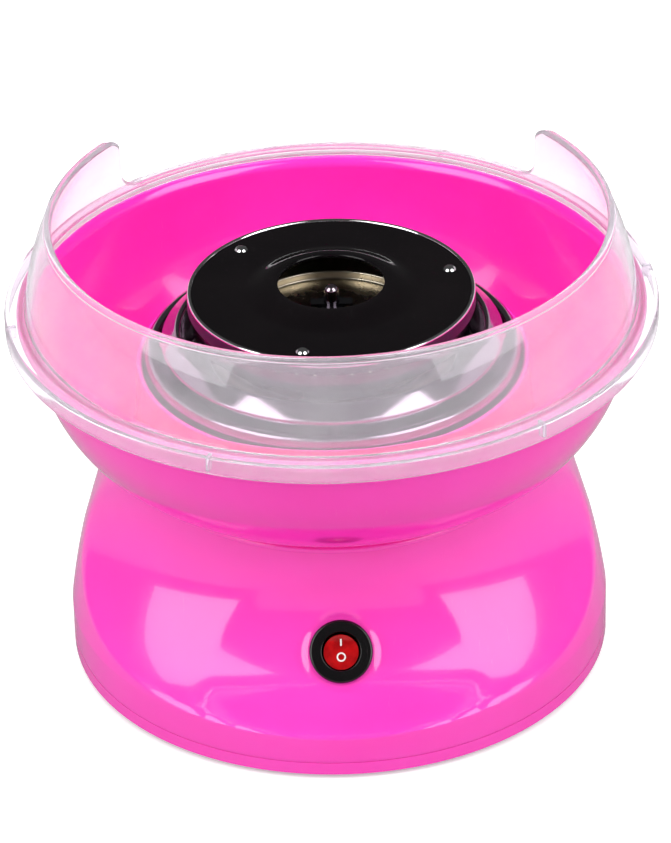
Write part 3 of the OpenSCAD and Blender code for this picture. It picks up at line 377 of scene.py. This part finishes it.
def gapCutter():
    g = guard
    half, low, fillet, horn = g["gapHalf"], g["gapZ"], g["fillet"], g["horn"]
    hornZ, high = g["topZ"] + g["hornLift"] - horn, g["topZ"] + 20
    right = [(0, low)] + arcPoints((half - fillet, low + fillet), fillet, -90, 0, 10)
    right += arcPoints((half + horn, hornZ), horn, 180, 90, 12) + [(half + horn, high), (0, high)]
    piece = drawOutline("gap_cutter", right)
    makeActive(piece)
    bpy.ops.object.transform_apply(location=True, rotation=True, scale=True)
    applyModifier(piece, "MIRROR", use_axis=(True, False, False), use_mirror_merge=True,
                  merge_threshold=0.01 * mm)
    makeActive(piece)
    bpy.ops.object.mode_set(mode="EDIT")
    bpy.ops.mesh.select_all(action="SELECT")
    bpy.ops.mesh.remove_doubles(threshold=0.01 * mm)
    bpy.ops.mesh.edge_face_add()
    bpy.ops.transform.translate(value=(0, 0.02, 0))
    bpy.ops.mesh.extrude_region_move(TRANSFORM_OT_translate={"value": (0, 0.3, 0)})
    bpy.ops.mesh.select_all(action="SELECT")
    bpy.ops.mesh.normals_make_consistent(inside=False)
    bpy.ops.object.mode_set(mode="OBJECT")
    return piece


def makeRib():
    # a small block that holds the skirt off the bowl's lip, its edges rounded
    g = guard
    clearSelection()
    fromRadius, toRadius = g["ribFrom"], g["radius"] - g["wall"] / 2
    low, high = g["skirtZ"] + 1, g["flangeZ"] - g["wall"] / 2
    middle = ((fromRadius + toRadius) / 2 * mm, 0, (low + high) / 2 * mm)
    sides = ((toRadius - fromRadius) * mm, g["ribWidth"] * mm, (high - low) * mm)
    bpy.ops.mesh.primitive_cube_add(size=1, location=middle, scale=sides)
    rib = bpy.context.active_object
    bpy.ops.object.transform_apply(location=True, rotation=True, scale=True)
    applyModifier(rib, "BEVEL", width=0.3 * mm, segments=2, limit_method="ANGLE")
    return rib


def makeGuard():
    g = guard
    wall = lathe("splash_guard_wall", guardOutline(), 288, angle=creaseAngle)
    cutWith(wall, gapCutter())
    rib = makeRib()
    turns = [math.radians(g["ribAngle"] + 360 / g["ribs"] * i) for i in range(g["ribs"])]
    ribs = [copyTurned(rib, "rib", turn) for turn in turns]
    bpy.data.objects.remove(rib)
    joined = joinPieces([wall] + ribs, "clear_splash_guard")
    bpy.ops.object.shade_smooth_by_angle(angle=math.radians(creaseAngle))
    return settle(joined, "guard", ["splash_guard"], "clear_plastic")


clearGuard = makeGuard()
print("splash guard made")


# heat pan and shield

pan = {
    "hole": 5, "floorZ": 129, "sheet": 1, "corner": 4, "radius": 62.7, "lipZ": 150.3, "lipRadius": 71.1,
    "fall": 4.9, "round": 1.7, "screw": 1.6, "screwCount": 3, "screwCircle": 54, "screwAngle": 30,
}


def panFace(depth):
    p = pan
    first = (p["radius"] + p["round"], p["lipZ"] - p["round"])
    second = (p["lipRadius"] - p["round"], p["lipZ"] - p["fall"] - p["round"] / 2)
    turn = 90 + math.degrees(math.atan2(second[1] - first[1], second[0] - first[0]))
    floor = p["floorZ"] + p["sheet"]
    face = [(p["hole"], floor - depth)]
    face += straight(face[-1], (p["radius"] - p["corner"] - 1, floor - depth), 10)
    face += arcPoints((p["radius"] - p["corner"], floor + p["corner"]), p["corner"] + depth, -90, 0, 10)
    face += arcPoints(first, p["round"] - depth, 180, turn, 12)
    face += arcPoints(second, p["round"] - depth, turn, 0, 10)
    return face + [(p["lipRadius"] - depth, second[1] - 1)]


def drillHoles(piece, radius, places, low, high):
    for x, y in places:
        cutWith(piece, tiltedCylinder(radius, high - low, (x, y, (low + high) / 2), (0, 0, 1), 32))


def ringPlaces(count, radius, first):
    return [(radius * math.cos(math.radians(first + 360 / count * i)),
             radius * math.sin(math.radians(first + 360 / count * i))) for i in range(count)]


def makePan():
    piece = lathe("heat_pan_sheet", panFace(0) + panFace(pan["sheet"])[::-1], 224, angle=creaseAngle)
    places = ringPlaces(pan["screwCount"], pan["screwCircle"], pan["screwAngle"])
    drillHoles(piece, pan["screw"], places, pan["floorZ"] - 3, pan["floorZ"] + 4)
    return piece


heatPan = makePan()

shield = {"hole": 24, "radius": 74, "rimRadius": 78, "rimZ": 141.6, "sheet": 1, "deckZ": 93, "corner": 2}


def makeShield():
    s = shield
    roll = (s["rimRadius"] - s["radius"] + s["sheet"]) / 2
    centre = (s["radius"] - s["sheet"] + roll, s["rimZ"] - roll)
    inner, floor, corner = s["radius"] - s["sheet"], s["deckZ"] + s["sheet"], s["corner"]
    outline = [(s["hole"], s["deckZ"]), (s["radius"] - corner - s["sheet"], s["deckZ"])]
    outline += arcPoints((inner - corner, floor + corner), corner + s["sheet"], -90, 0, 8)
    outline += arcPoints(centre, roll - s["sheet"], 180, 0, 12)
    outline += [(s["rimRadius"] - s["sheet"], centre[1] - 2), (s["rimRadius"], centre[1] - 2)]
    outline += arcPoints(centre, roll, 0, 180, 14)
    outline += arcPoints((inner - corner, floor + corner), corner, 0, -90, 8)
    outline += straight(outline[-1], (s["hole"], floor), 6)
    return lathe("heat_shield_sheet", outline, 224, angle=creaseAngle)


heatShield = makeShield()
settle(heatPan, "base", ["heat_pan"], "steel")
settle(heatShield, "base", ["heat_shield"], "steel")
print("heat pan and shield made")


# spinner head

head = {
    "radius": 59.6, "topZ": 167, "rim": 1.8, "rimDepth": 6.5, "gap": 0.1,
    "plate": 1.5, "plateZ": 164.9, "holeRadius": 22, "lipZ": 170.3, "neckRadius": 37,
    "floorZ": 148, "floor": 1.2, "step": 39, "stepHeight": 3.6, "shelfRise": 3, "hub": 8.1,
    "rivetCircle": 51.4, "rivetAngle": 16.2, "rivet": 2.7, "rivetHeight": 1.5, "rivets": 3,
    "pin": 1.4, "post": 2.4,
}


def plateTop(radius):
    h = head
    share = min(1, max(0, (h["neckRadius"] - radius) / (h["neckRadius"] - h["holeRadius"] - h["plate"])))
    flat = h["plateZ"] + h["plate"]
    return flat + (h["lipZ"] - flat) * (1 - math.cos(math.pi * share)) / 2


def makePlate():
    h = head
    outer = h["radius"] - h["rim"] - h["gap"]
    lip, thick = h["holeRadius"], h["plate"]
    neck = [lip + thick + (h["neckRadius"] - lip - thick) * i / 24 for i in range(25)]
    outline = arcPoints((lip + thick / 2, h["lipZ"] - thick / 2), thick / 2, 200, 90, 8)
    outline += [(radius, plateTop(radius)) for radius in neck]
    outline += straight((h["neckRadius"], plateTop(99)), (outer, plateTop(99)), 5)
    outline += [(outer, h["plateZ"])]
    outline += [(radius, plateTop(radius) - thick) for radius in neck[::-1]]
    outline += [(lip, h["lipZ"] - thick)]
    return lathe("head_plate", outline, 256, angle=creaseAngle)


def makeRim():
    h = head
    half = h["rim"] / 2
    outer, low = h["radius"], h["topZ"] - h["rimDepth"]
    outline = [(outer - h["rim"], low), (outer - 0.3, low), (outer, low + 0.3)]
    outline += straight(outline[-1], (outer, h["topZ"] - half - 0.1), 3)
    outline += arcPoints((outer - half, h["topZ"] - half), half, 0, 180, 12)
    return lathe("head_rim", outline, 256, angle=creaseAngle)


def makeDish():
    h = head
    outer = h["radius"] - h["rim"] - h["gap"] - 1.2 - h["gap"]
    thick, floor = h["floor"], h["floorZ"]
    shelf = floor + thick + h["stepHeight"]
    top = shelf + h["shelfRise"]
    inside = outer - thick
    outline = [(h["hub"], floor), (h["step"] - 0.8 + thick, floor), (h["step"] + thick, floor + 0.8)]
    outline += [(h["step"] + thick, shelf - thick - 0.4), (h["step"] + thick + 0.5, shelf - thick)]
    outline += straight(outline[-1], (outer, top - thick), 4) + [(outer, top + 2)]
    outline += [(outer - 0.4, top + 2.3), (inside, top + 2), (inside, top + 1)]
    outline += arcPoints((inside - 1, top + 1), 1, 0, -80, 5)
    outline += straight(outline[-1], (h["step"] + 1, shelf + 0.1), 5)
    outline += arcPoints((h["step"] + 1, shelf - 0.9), 1, 90, 180, 5)
    outline += arcPoints((h["step"] - 1, floor + thick + 1), 1, 0, -90, 5)
    outline += straight(outline[-1], (h["hub"], floor + thick), 8)
    return lathe("head_dish", outline, 256, angle=creaseAngle)


def makeRivets():
    h = head
    dome = (h["rivet"] ** 2 + h["rivetHeight"] ** 2) / (2 * h["rivetHeight"])
    plateTopZ = h["plateZ"] + h["plate"]
    shelf = h["floorZ"] + h["floor"] + h["stepHeight"]
    reach = h["radius"] - h["rim"] - 1.2 - 2 * h["gap"] - h["step"]
    postZ = shelf + h["shelfRise"] * (h["rivetCircle"] - h["step"]) / reach + 0.6
    edge = math.degrees(math.asin(h["rivet"] / dome))
    outline = [(0, postZ), (h["post"], postZ), (h["post"], h["plateZ"]), (h["pin"], h["plateZ"])]
    outline += [(h["pin"], plateTopZ + 0.02), (h["rivet"] - 0.15, plateTopZ + 0.02)]
    outline += arcPoints((0, plateTopZ + h["rivetHeight"] - dome), dome, 90 - edge, 90, 10)
    one = lathe("rivet", outline, 40, closed=False, angle=50)
    one.data.transform(Matrix.Translation((h["rivetCircle"] * mm, 0, 0)))
    copies = [copyTurned(one, "rivet", math.radians(h["rivetAngle"] + 360 / h["rivets"] * i))
              for i in range(h["rivets"])]
    bpy.data.objects.remove(one)
    return joinPieces(copies, "rivet_heads")


headPlate = settle(makePlate(), "head", ["head_top_plate"], "black_enamel")
headRim = settle(makeRim(), "head", ["head_rim_ring"], "chrome")
headDish = settle(makeDish(), "head", ["head_lower_dish"], "warm_metal")
headRivets = settle(makeRivets(), "head", ["head_rivets"], "chrome")
print("spinner head made")


# switch

switch = {
    "y": shell["seatY"], "z": shell["seatZ"], "tilt": shell["seatTilt"], "pad": 1, "bezel": 13.1,
    "thick": 2.6, "round": 1.1, "window": 8, "body": 10, "depth": 17, "pivot": 2.4, "swing": 16,
    "rocker": 7.2, "sweep": 7.9, "drop": 9, "face": 2.2, "hollow": 1.2,
}


def switchPlace():
    s = switch
    turn = Matrix.Rotation(math.radians(90 - s["tilt"]), 4, "X")
    return Matrix.Translation(Vector((0, s["y"], s["z"])) * mm) @ turn


def makeSwitchBody():
    s = switch
    pad, top = s["pad"], s["pad"] + s["thick"]
    low = top - s["pivot"] - s["drop"] - 0.5
    outer, edge, window = s["bezel"], s["round"], s["window"]
    back = pad - s["depth"]
    outline = [(0, back), (s["body"] - 0.4, back), (s["body"], back + 0.4)]
    outline += [(s["body"], pad), (outer - 0.2, pad), (outer, pad + 0.2)]
    outline += arcPoints((outer - edge, top - edge), edge, 0, 90, 8)
    outline += [(window + 0.9, top)] + arcPoints((window + 0.4, top - 0.4), 0.4, 90, 180, 5)
    outline += [(window, low + 0.3), (window - 0.3, low), (0, low)]
    piece = lathe("switch_housing", outline, 128, closed=False, angle=creaseAngle)
    piece.data.transform(switchPlace())
    return settle(piece, "base", ["switch_body"], "black_plastic")


def makeRocker():
    # a round peg, rounded off along the swing and pressed hollow across it
    s = switch
    clearSelection()
    high = s["face"] + s["hollow"]
    bpy.ops.mesh.primitive_cylinder_add(radius=s["rocker"] * mm, depth=(s["drop"] + high) * mm, vertices=128,
                                        location=(0, 0, (high - s["drop"]) / 2 * mm))
    piece = bpy.context.active_object
    piece.name = "red_rocker"
    piece.data.name = "red_rocker"
    sweep = tiltedCylinder(s["sweep"], 40, (0, 0, 0), (1, 0, 0), 128)
    applyModifier(piece, "BOOLEAN", operation="INTERSECT", object=sweep, solver="EXACT")
    bpy.data.objects.remove(sweep)
    hollowRadius = (s["rocker"] ** 2 + s["hollow"] ** 2) / (2 * s["hollow"])
    cutWith(piece, tiltedCylinder(hollowRadius, 40, (0, 0, s["face"] + hollowRadius), (1, 0, 0), 360))
    applyModifier(piece, "BEVEL", width=0.3 * mm, segments=3, limit_method="ANGLE",
                  angle_limit=math.radians(50))
    tidyMesh(piece, 35)
    pivot = Matrix.Translation(Vector((0, 0, s["pad"] + s["thick"] - s["pivot"])) * mm)
    piece.data.transform(switchPlace() @ pivot @ Matrix.Rotation(math.radians(s["swing"] / 2), 4, "X"))
    return settle(piece, "rocker", ["switch_rocker"], "red_plastic")


switchBody = makeSwitchBody()
redRocker = makeRocker()
print("switch made")


# material helpers

def newMaterial(name, colour, rough, metal=0.0):
    material = bpy.data.materials.new(name)
    material.use_nodes = True
    tree = material.node_tree
    shader = tree.nodes["Principled BSDF"]
    shader.inputs["Base Color"].default_value = (*colour, 1)
    shader.inputs["Roughness"].default_value = rough
    shader.inputs["Metallic"].default_value = metal
    material.diffuse_color = (*colour, 1)
    return material, tree, shader


def ownPlace(tree, stretch=(1, 1, 1)):
    # the piece's own coordinates, stretched
    source = tree.nodes.new("ShaderNodeTexCoord")
    mapping = tree.nodes.new("ShaderNodeMapping")
    mapping.inputs["Scale"].default_value = stretch
    tree.links.new(source.outputs["Object"], mapping.inputs["Vector"])
    return mapping.outputs["Vector"]


def noise(tree, where, scale, detail=3.0, rough=0.5):
    node = tree.nodes.new("ShaderNodeTexNoise")
    node.inputs["Scale"].default_value = scale
    node.inputs["Detail"].default_value = detail
    node.inputs["Roughness"].default_value = rough
    tree.links.new(where, node.inputs["Vector"])
    return node.outputs["Fac"]


def spread(tree, value, low, high, toLow, toHigh):
    node = tree.nodes.new("ShaderNodeMapRange")
    for key, number in (("From Min", low), ("From Max", high), ("To Min", toLow), ("To Max", toHigh)):
        node.inputs[key].default_value = number
    tree.links.new(value, node.inputs["Value"])
    return node.outputs["Result"]


def sums(tree, operation, first, second):
    node = tree.nodes.new("ShaderNodeMath")
    node.operation = operation
    for socket, value in zip(node.inputs, (first, second)):
        if isinstance(value, (int, float)):
            socket.default_value = value
        else:
            tree.links.new(value, socket)
    return node.outputs[0]


def blendColours(tree, share, first, second):
    node = tree.nodes.new("ShaderNodeMix")
    node.data_type = "RGBA"
    tree.links.new(share, node.inputs["Factor"])
    for key, value in (("A", first), ("B", second)):
        socket = [s for s in node.inputs if s.name == key and s.type == "RGBA"][0]
        if isinstance(value, tuple):
            socket.default_value = (*value, 1)
        else:
            tree.links.new(value, socket)
    return [s for s in node.outputs if s.type == "RGBA"][0]


def bump(tree, shader, height, strength, distance):
    node = tree.nodes.new("ShaderNodeBump")
    node.inputs["Strength"].default_value = strength
    node.inputs["Distance"].default_value = distance * mm
    tree.links.new(height, node.inputs["Height"])
    before = [link.from_socket for link in tree.links if link.to_socket == shader.inputs["Normal"]]
    if before:
        tree.links.new(before[0], node.inputs["Normal"])
    tree.links.new(node.outputs["Normal"], shader.inputs["Normal"])


def ringDistance(tree, where):
    # distance from the upright axis through the middle of the machine
    split = tree.nodes.new("ShaderNodeSeparateXYZ")
    tree.links.new(where, split.inputs[0])
    across = sums(tree, "MULTIPLY", split.outputs["X"], split.outputs["X"])
    along = sums(tree, "MULTIPLY", split.outputs["Y"], split.outputs["Y"])
    return sums(tree, "SQRT", sums(tree, "ADD", across, along), 0), split.outputs["Z"]


def moulded(name, colour, other, rough=0.2, grain=0.25, coat=0.0, scuff=0.2):
    # moulded plastic: faint flow marks in the colour, orange peel, smudges and hairline scuffs
    material, tree, shader = newMaterial(name, colour, rough)
    where = ownPlace(tree)
    flow = noise(tree, where, 14, 4, 0.6)
    tint = blendColours(tree, spread(tree, flow, 0.35, 0.7, 0, 1), colour, other)
    pale = tuple(c + (1 - c) * 0.12 for c in colour)
    lines = noise(tree, ownPlace(tree, (900, 70, 120)), 1.4, 3, 0.6)
    patches = spread(tree, flow, 0.45, 0.6, 0, 1)
    scuffs = sums(tree, "MULTIPLY", spread(tree, lines, 0.66, 0.74, 0, scuff), patches)
    tree.links.new(blendColours(tree, scuffs, tint, pale), shader.inputs["Base Color"])
    smudge = noise(tree, where, 42, 5, 0.65)
    tree.links.new(spread(tree, smudge, 0.3, 0.75, rough * 0.8, rough * 1.5), shader.inputs["Roughness"])
    bump(tree, shader, noise(tree, where, 320, 3), grain * 0.3, 0.02)
    bump(tree, shader, noise(tree, where, 30, 2), grain, 0.05)
    shader.inputs["Coat Weight"].default_value = coat
    shader.inputs["Coat Roughness"].default_value = 0.04
    return material


def metal(name, colour, other, rough=0.25, spun=0.0, scratch=0.25, stain=0.3):
    # turned or drawn metal: fine rings about the spindle, hairlines, smudges and heat tint
    material, tree, shader = newMaterial(name, colour, rough, 1.0)
    where = ownPlace(tree)
    cloud = noise(tree, where, 35, 5, 0.6)
    share = spread(tree, cloud, 0.4, 0.75, 0, stain)
    tree.links.new(blendColours(tree, share, colour, other), shader.inputs["Base Color"])
    tree.links.new(spread(tree, cloud, 0.3, 0.75, rough * 0.75, rough * 1.6), shader.inputs["Roughness"])
    if spun:
        distance, height = ringDistance(tree, where)
        joined = tree.nodes.new("ShaderNodeCombineXYZ")
        tree.links.new(sums(tree, "MULTIPLY", distance, 2600), joined.inputs["X"])
        tree.links.new(sums(tree, "MULTIPLY", height, 2600), joined.inputs["Y"])
        bump(tree, shader, noise(tree, joined.outputs[0], 1, 2), spun, 0.02)
    hairs = noise(tree, ownPlace(tree, (60, 60, 900)), 3, 4, 0.7)
    bump(tree, shader, hairs, scratch * 0.4, 0.01)
    return material


def rubberLike(name, colour, rough=0.7):
    material, tree, shader = newMaterial(name, colour, rough)
    where = ownPlace(tree)
    dust = spread(tree, noise(tree, where, 60, 5, 0.7), 0.45, 0.8, 0, 0.5)
    grey = tuple(c * 0.6 + 0.12 for c in colour)
    tree.links.new(blendColours(tree, dust, colour, grey), shader.inputs["Base Color"])
    tree.links.new(spread(tree, noise(tree, where, 500, 2), 0.3, 0.7, rough * 0.85, min(1, rough * 1.15)),
                   shader.inputs["Roughness"])
    bump(tree, shader, noise(tree, where, 900, 3), 0.35, 0.05)
    return material


# materials

# the deeper copy of the pink, painted darker for the bowl's shaded inside; the base gets a lighter copy
# further down
pinkDeep, pinkWarm = (1.0, 0.032, 0.50), (0.98, 0.024, 0.46)


def pinkPlastic(name, deep, warm):
    material = moulded(name, deep, warm, 0.16, 0.12, 0.6)
    shader = material.node_tree.nodes["Principled BSDF"]
    shader.inputs["Subsurface Weight"].default_value = 0.12
    shader.inputs["Subsurface Radius"].default_value = (1.0, 0.25, 0.5)
    shader.inputs["Subsurface Scale"].default_value = 2 * mm
    return material


def clearPlastic():
    # hazy clear plastic with a breath of pink, faint flow lines and handling smears
    material, tree, shader = newMaterial("Clear polycarbonate with a light haze", (1.0, 0.93, 0.965), 0.06)
    where = ownPlace(tree)
    smear = noise(tree, where, 26, 5, 0.65)
    shader.inputs["IOR"].default_value = 1.4
    tree.links.new(spread(tree, smear, 0.3, 0.75, 0.03, 0.09), shader.inputs["Roughness"])
    tree.links.new(spread(tree, smear, 0.35, 0.75, 0.85, 0.79), shader.inputs["Transmission Weight"])
    tree.links.new(blendColours(tree, spread(tree, noise(tree, where, 60, 3), 0.35, 0.7, 0, 1),
                                (0.98, 0.95, 1.0), (0.97, 0.92, 0.99)), shader.inputs["Base Color"])
    bump(tree, shader, noise(tree, where, 22, 2), 0.12, 0.04)
    return material


def blackEnamel():
    deep, worn = (0.002, 0.0015, 0.002), (0.004, 0.003, 0.0035)
    material = moulded("Gloss black enamel on steel", deep, worn, 0.05, 0.012, 0.0, 0.05)
    material.node_tree.nodes["Principled BSDF"].inputs["Specular IOR Level"].default_value = 0.35
    return material


def rimChrome():
    # a polished edge over a skirt painted dark and rough: painted shade standing in for the dark reflection
    # there, which keeps the bowl's pink out of the reflection
    paintedShade, bright = (0.1, 0.095, 0.12), (0.9, 0.9, 0.91)
    material, tree, shader = newMaterial("Chrome edge over a dull skirt", bright, 0.06, 1.0)
    split = tree.nodes.new("ShaderNodeSeparateXYZ")
    where = ownPlace(tree)
    tree.links.new(where, split.inputs["Vector"])
    skirtTop = (head["topZ"] - 1) * mm
    # below this height the skirt takes the painted dark reflection colour
    share = spread(tree, split.outputs["Z"], skirtTop - 0.1 * mm, skirtTop + 0.1 * mm, 0, 1)
    tree.links.new(blendColours(tree, share, paintedShade, bright), shader.inputs["Base Color"])
    tree.links.new(spread(tree, share, 0, 1, 0.5, 0.06), shader.inputs["Roughness"])
    bump(tree, shader, noise(tree, where, 900, 4), 0.1, 0.01)
    return material


def redLens():
    material, tree, shader = newMaterial("Translucent red rocker plastic", (0.42, 0.003, 0.005), 0.12)
    where = ownPlace(tree)
    shade = spread(tree, noise(tree, where, 180, 3), 0.35, 0.7, 0, 1)
    tree.links.new(blendColours(tree, shade, (0.46, 0.004, 0.006), (0.22, 0.0, 0.002)),
                   shader.inputs["Base Color"])
    shader.inputs["Subsurface Weight"].default_value = 0.3
    shader.inputs["Subsurface Radius"].default_value = (1.0, 0.1, 0.08)
    shader.inputs["Subsurface Scale"].default_value = 3 * mm
    tree.links.new(spread(tree, noise(tree, where, 300, 4), 0.3, 0.7, 0.08, 0.2), shader.inputs["Roughness"])
    bump(tree, shader, noise(tree, where, 700, 2), 0.1, 0.02)
    return material


finish = {
    "pink_plastic": pinkPlastic("Hot pink glossy moulded plastic", pinkDeep, pinkWarm),
    "clear_plastic": clearPlastic(),
    "black_enamel": blackEnamel(),
    "red_plastic": redLens(),
    "black_plastic": moulded("Black moulded plastic", (0.003, 0.003, 0.0035), (0.006, 0.0055, 0.006),
                             0.16, 0.3),
    "white_plastic": moulded("White moulded plastic", (0.82, 0.81, 0.78), (0.76, 0.74, 0.7), 0.32, 0.3),
    "wire_insulation": moulded("Cream wire insulation", (0.75, 0.68, 0.55), (0.68, 0.6, 0.48), 0.4, 0.3),
    "ceramic": moulded("Glazed white ceramic", (0.8, 0.79, 0.75), (0.72, 0.7, 0.65), 0.25, 0.4, 0.3),
    "board": moulded("Brown circuit board", (0.18, 0.09, 0.03), (0.13, 0.07, 0.025), 0.45, 0.5),
    "magnet": rubberLike("Dark ferrite", (0.03, 0.03, 0.033), 0.6),
    "rubber": rubberLike("Black rubber", (0.012, 0.012, 0.013), 0.72),
    "chrome": metal("Bright chrome plate", (0.9, 0.9, 0.91), (0.8, 0.8, 0.83), 0.06, 0.03, 0.1),
    # the steel's pinkish purple colour is a painted reflection of the pink bowl
    "steel": metal("Drawn stainless steel with a painted pink reflection tint", (0.46, 0.38, 0.44), (0.36, 0.3, 0.35), 0.09, 0.06, 0.12),
    # the dish's warm beige colour is a painted reflection, not a tint of the metal
    "warm_metal": metal("Spun aluminium with a painted warm beige reflection", (0.8, 0.72, 0.58), (0.6, 0.47, 0.3),
                        0.24, 0.35, 0.3),
    "aluminium": metal("Bright aluminium", (0.78, 0.78, 0.79), (0.66, 0.66, 0.68), 0.25, 0.25, 0.25),
    "element_steel": metal("Heat-browned steel tube", (0.3, 0.25, 0.22), (0.16, 0.11, 0.09),
                           0.4, 0.0, 0.4, 0.9),
    "brass": metal("Brass", (0.75, 0.56, 0.24), (0.55, 0.38, 0.15), 0.25),
    "bronze": metal("Oiled bronze", (0.45, 0.28, 0.13), (0.28, 0.17, 0.08), 0.35),
    "core_steel": metal("Dull core steel", (0.35, 0.34, 0.33), (0.2, 0.18, 0.17), 0.4),
    "copper": metal("Enamelled copper wire", (0.72, 0.3, 0.14), (0.5, 0.18, 0.08), 0.25, 0.0, 0.5, 0.6),
    "dark_metal": metal("Blackened steel", (0.1, 0.1, 0.115), (0.14, 0.135, 0.14), 0.16),
}


def nodeSlots():
    return {entry["node"]: entry["material_slot"] for entry in frame["record"]["subparts"]}


def dress(piece, material):
    piece.data.materials.clear()
    piece.data.materials.append(material)


for piece in (baseShell, bowlShell, clearGuard, heatPan, heatShield, headPlate, headRim, headDish,
              headRivets, switchBody, redRocker):
    dress(piece, finish[piece["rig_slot"]])
slots = nodeSlots()
for name, node in frame["nodes"].items():
    dress(node, finish[slots[name]])
dress(headRim, rimChrome())
# the base and its cover get a slightly lighter copy of the bowl's pink: painted light, the lit outside
# against the bowl's shaded inside
litBasePink = pinkPlastic("Hot pink moulded plastic, base shade", (1.0, 0.062, 0.53), (0.98, 0.052, 0.49))
for piece in (baseShell, frame["nodes"]["base_housing"], frame["nodes"]["bottom_cover"]):
    dress(piece, litBasePink)
print("materials made")


# stage, lights and camera

stage = {
    "target": (0, 0, 0.090), "distance": 2.0, "elevation": 31.65, "roll": 1.576, "lens": 203.1,
    "shift": 0.030, "bounce": (0.36, 0.36, 0.36), "white": (0.93, 0.93, 0.93), "floorGlow": 0.3,
    "through": 0.75, "glow": 0.45, "mirroredGlow": 0.06,
}


def seenDirect(tree):
    # one for what is seen directly, and a little less for what is seen through clear plastic
    path = tree.nodes.new("ShaderNodeLightPath")
    through = sums(tree, "MULTIPLY", path.outputs["Is Transmission Ray"], stage["through"])
    return sums(tree, "MAXIMUM", path.outputs["Is Camera Ray"], through)


def makeFloor():
    # white to the camera, and a softer grey in what it throws back up
    clearSelection()
    bpy.ops.mesh.primitive_plane_add(size=14, location=(0, 2, 0))
    floor = bpy.context.active_object
    floor.name = "floor"
    material, tree, shader = newMaterial("White studio floor", stage["white"], 0.6)
    seen = seenDirect(tree)
    tree.links.new(blendColours(tree, seen, stage["bounce"], stage["white"]), shader.inputs["Base Color"])
    shader.inputs["Emission Color"].default_value = (1, 1, 1, 1)
    tree.links.new(sums(tree, "MULTIPLY", seen, stage["floorGlow"]), shader.inputs["Emission Strength"])
    dress(floor, material)


def makeLight(name, place, size, power, mirrored=True, aim=(0, 0, 0.1)):
    data = bpy.data.lights.new(name, "AREA")
    data.shape = "RECTANGLE"
    data.size, data.size_y = size
    data.energy = power
    light = bpy.data.objects.new(name, data)
    bpy.context.scene.collection.objects.link(light)
    light.location = place
    light.rotation_mode = "QUATERNION"
    light.rotation_quaternion = (Vector(aim) - Vector(place)).to_track_quat("-Z", "Y")
    light.visible_glossy = mirrored


def makeCamera():
    s = stage
    rise = math.radians(s["elevation"])
    target = Vector(s["target"])
    place = target + Vector((0, -math.cos(rise), math.sin(rise))) * s["distance"]
    data = bpy.data.cameras.new("camera")
    data.lens = s["lens"]
    data.shift_y = s["shift"]
    camera = bpy.data.objects.new("camera", data)
    bpy.context.scene.collection.objects.link(camera)
    camera.location = place
    camera.rotation_mode = "QUATERNION"
    look = (target - place).to_track_quat("-Z", "Y")
    camera.rotation_quaternion = look @ Matrix.Rotation(-math.radians(s["roll"]), 4, "Z").to_quaternion()
    bpy.context.scene.camera = camera


def makeWorld():
    # an even studio glow, dimmer where the surfaces mirror it
    world = bpy.data.worlds.new("studio")
    bpy.context.scene.world = world
    world.use_nodes = True
    tree = world.node_tree
    background = tree.nodes["Background"]
    background.inputs["Color"].default_value = (1, 1, 1, 1)
    path = tree.nodes.new("ShaderNodeLightPath")
    glow = spread(tree, path.outputs["Is Glossy Ray"], 0, 1, stage["glow"], stage["mirroredGlow"])
    tree.links.new(sums(tree, "MAXIMUM", glow, seenDirect(tree)), background.inputs["Strength"])


makeFloor()
makeWorld()
for name, side in (("left window", -1), ("right window", 1)):
    makeLight(name, (1.45 * side, -1.0, 1.3), (1.5, 2.3), 36)
makeLight("top panel", (0, 0.4, 1.9), (1.6, 1.2), 30, mirrored=False)
makeCamera()
bpy.context.scene.view_settings.view_transform = "Standard"

print("stage made")
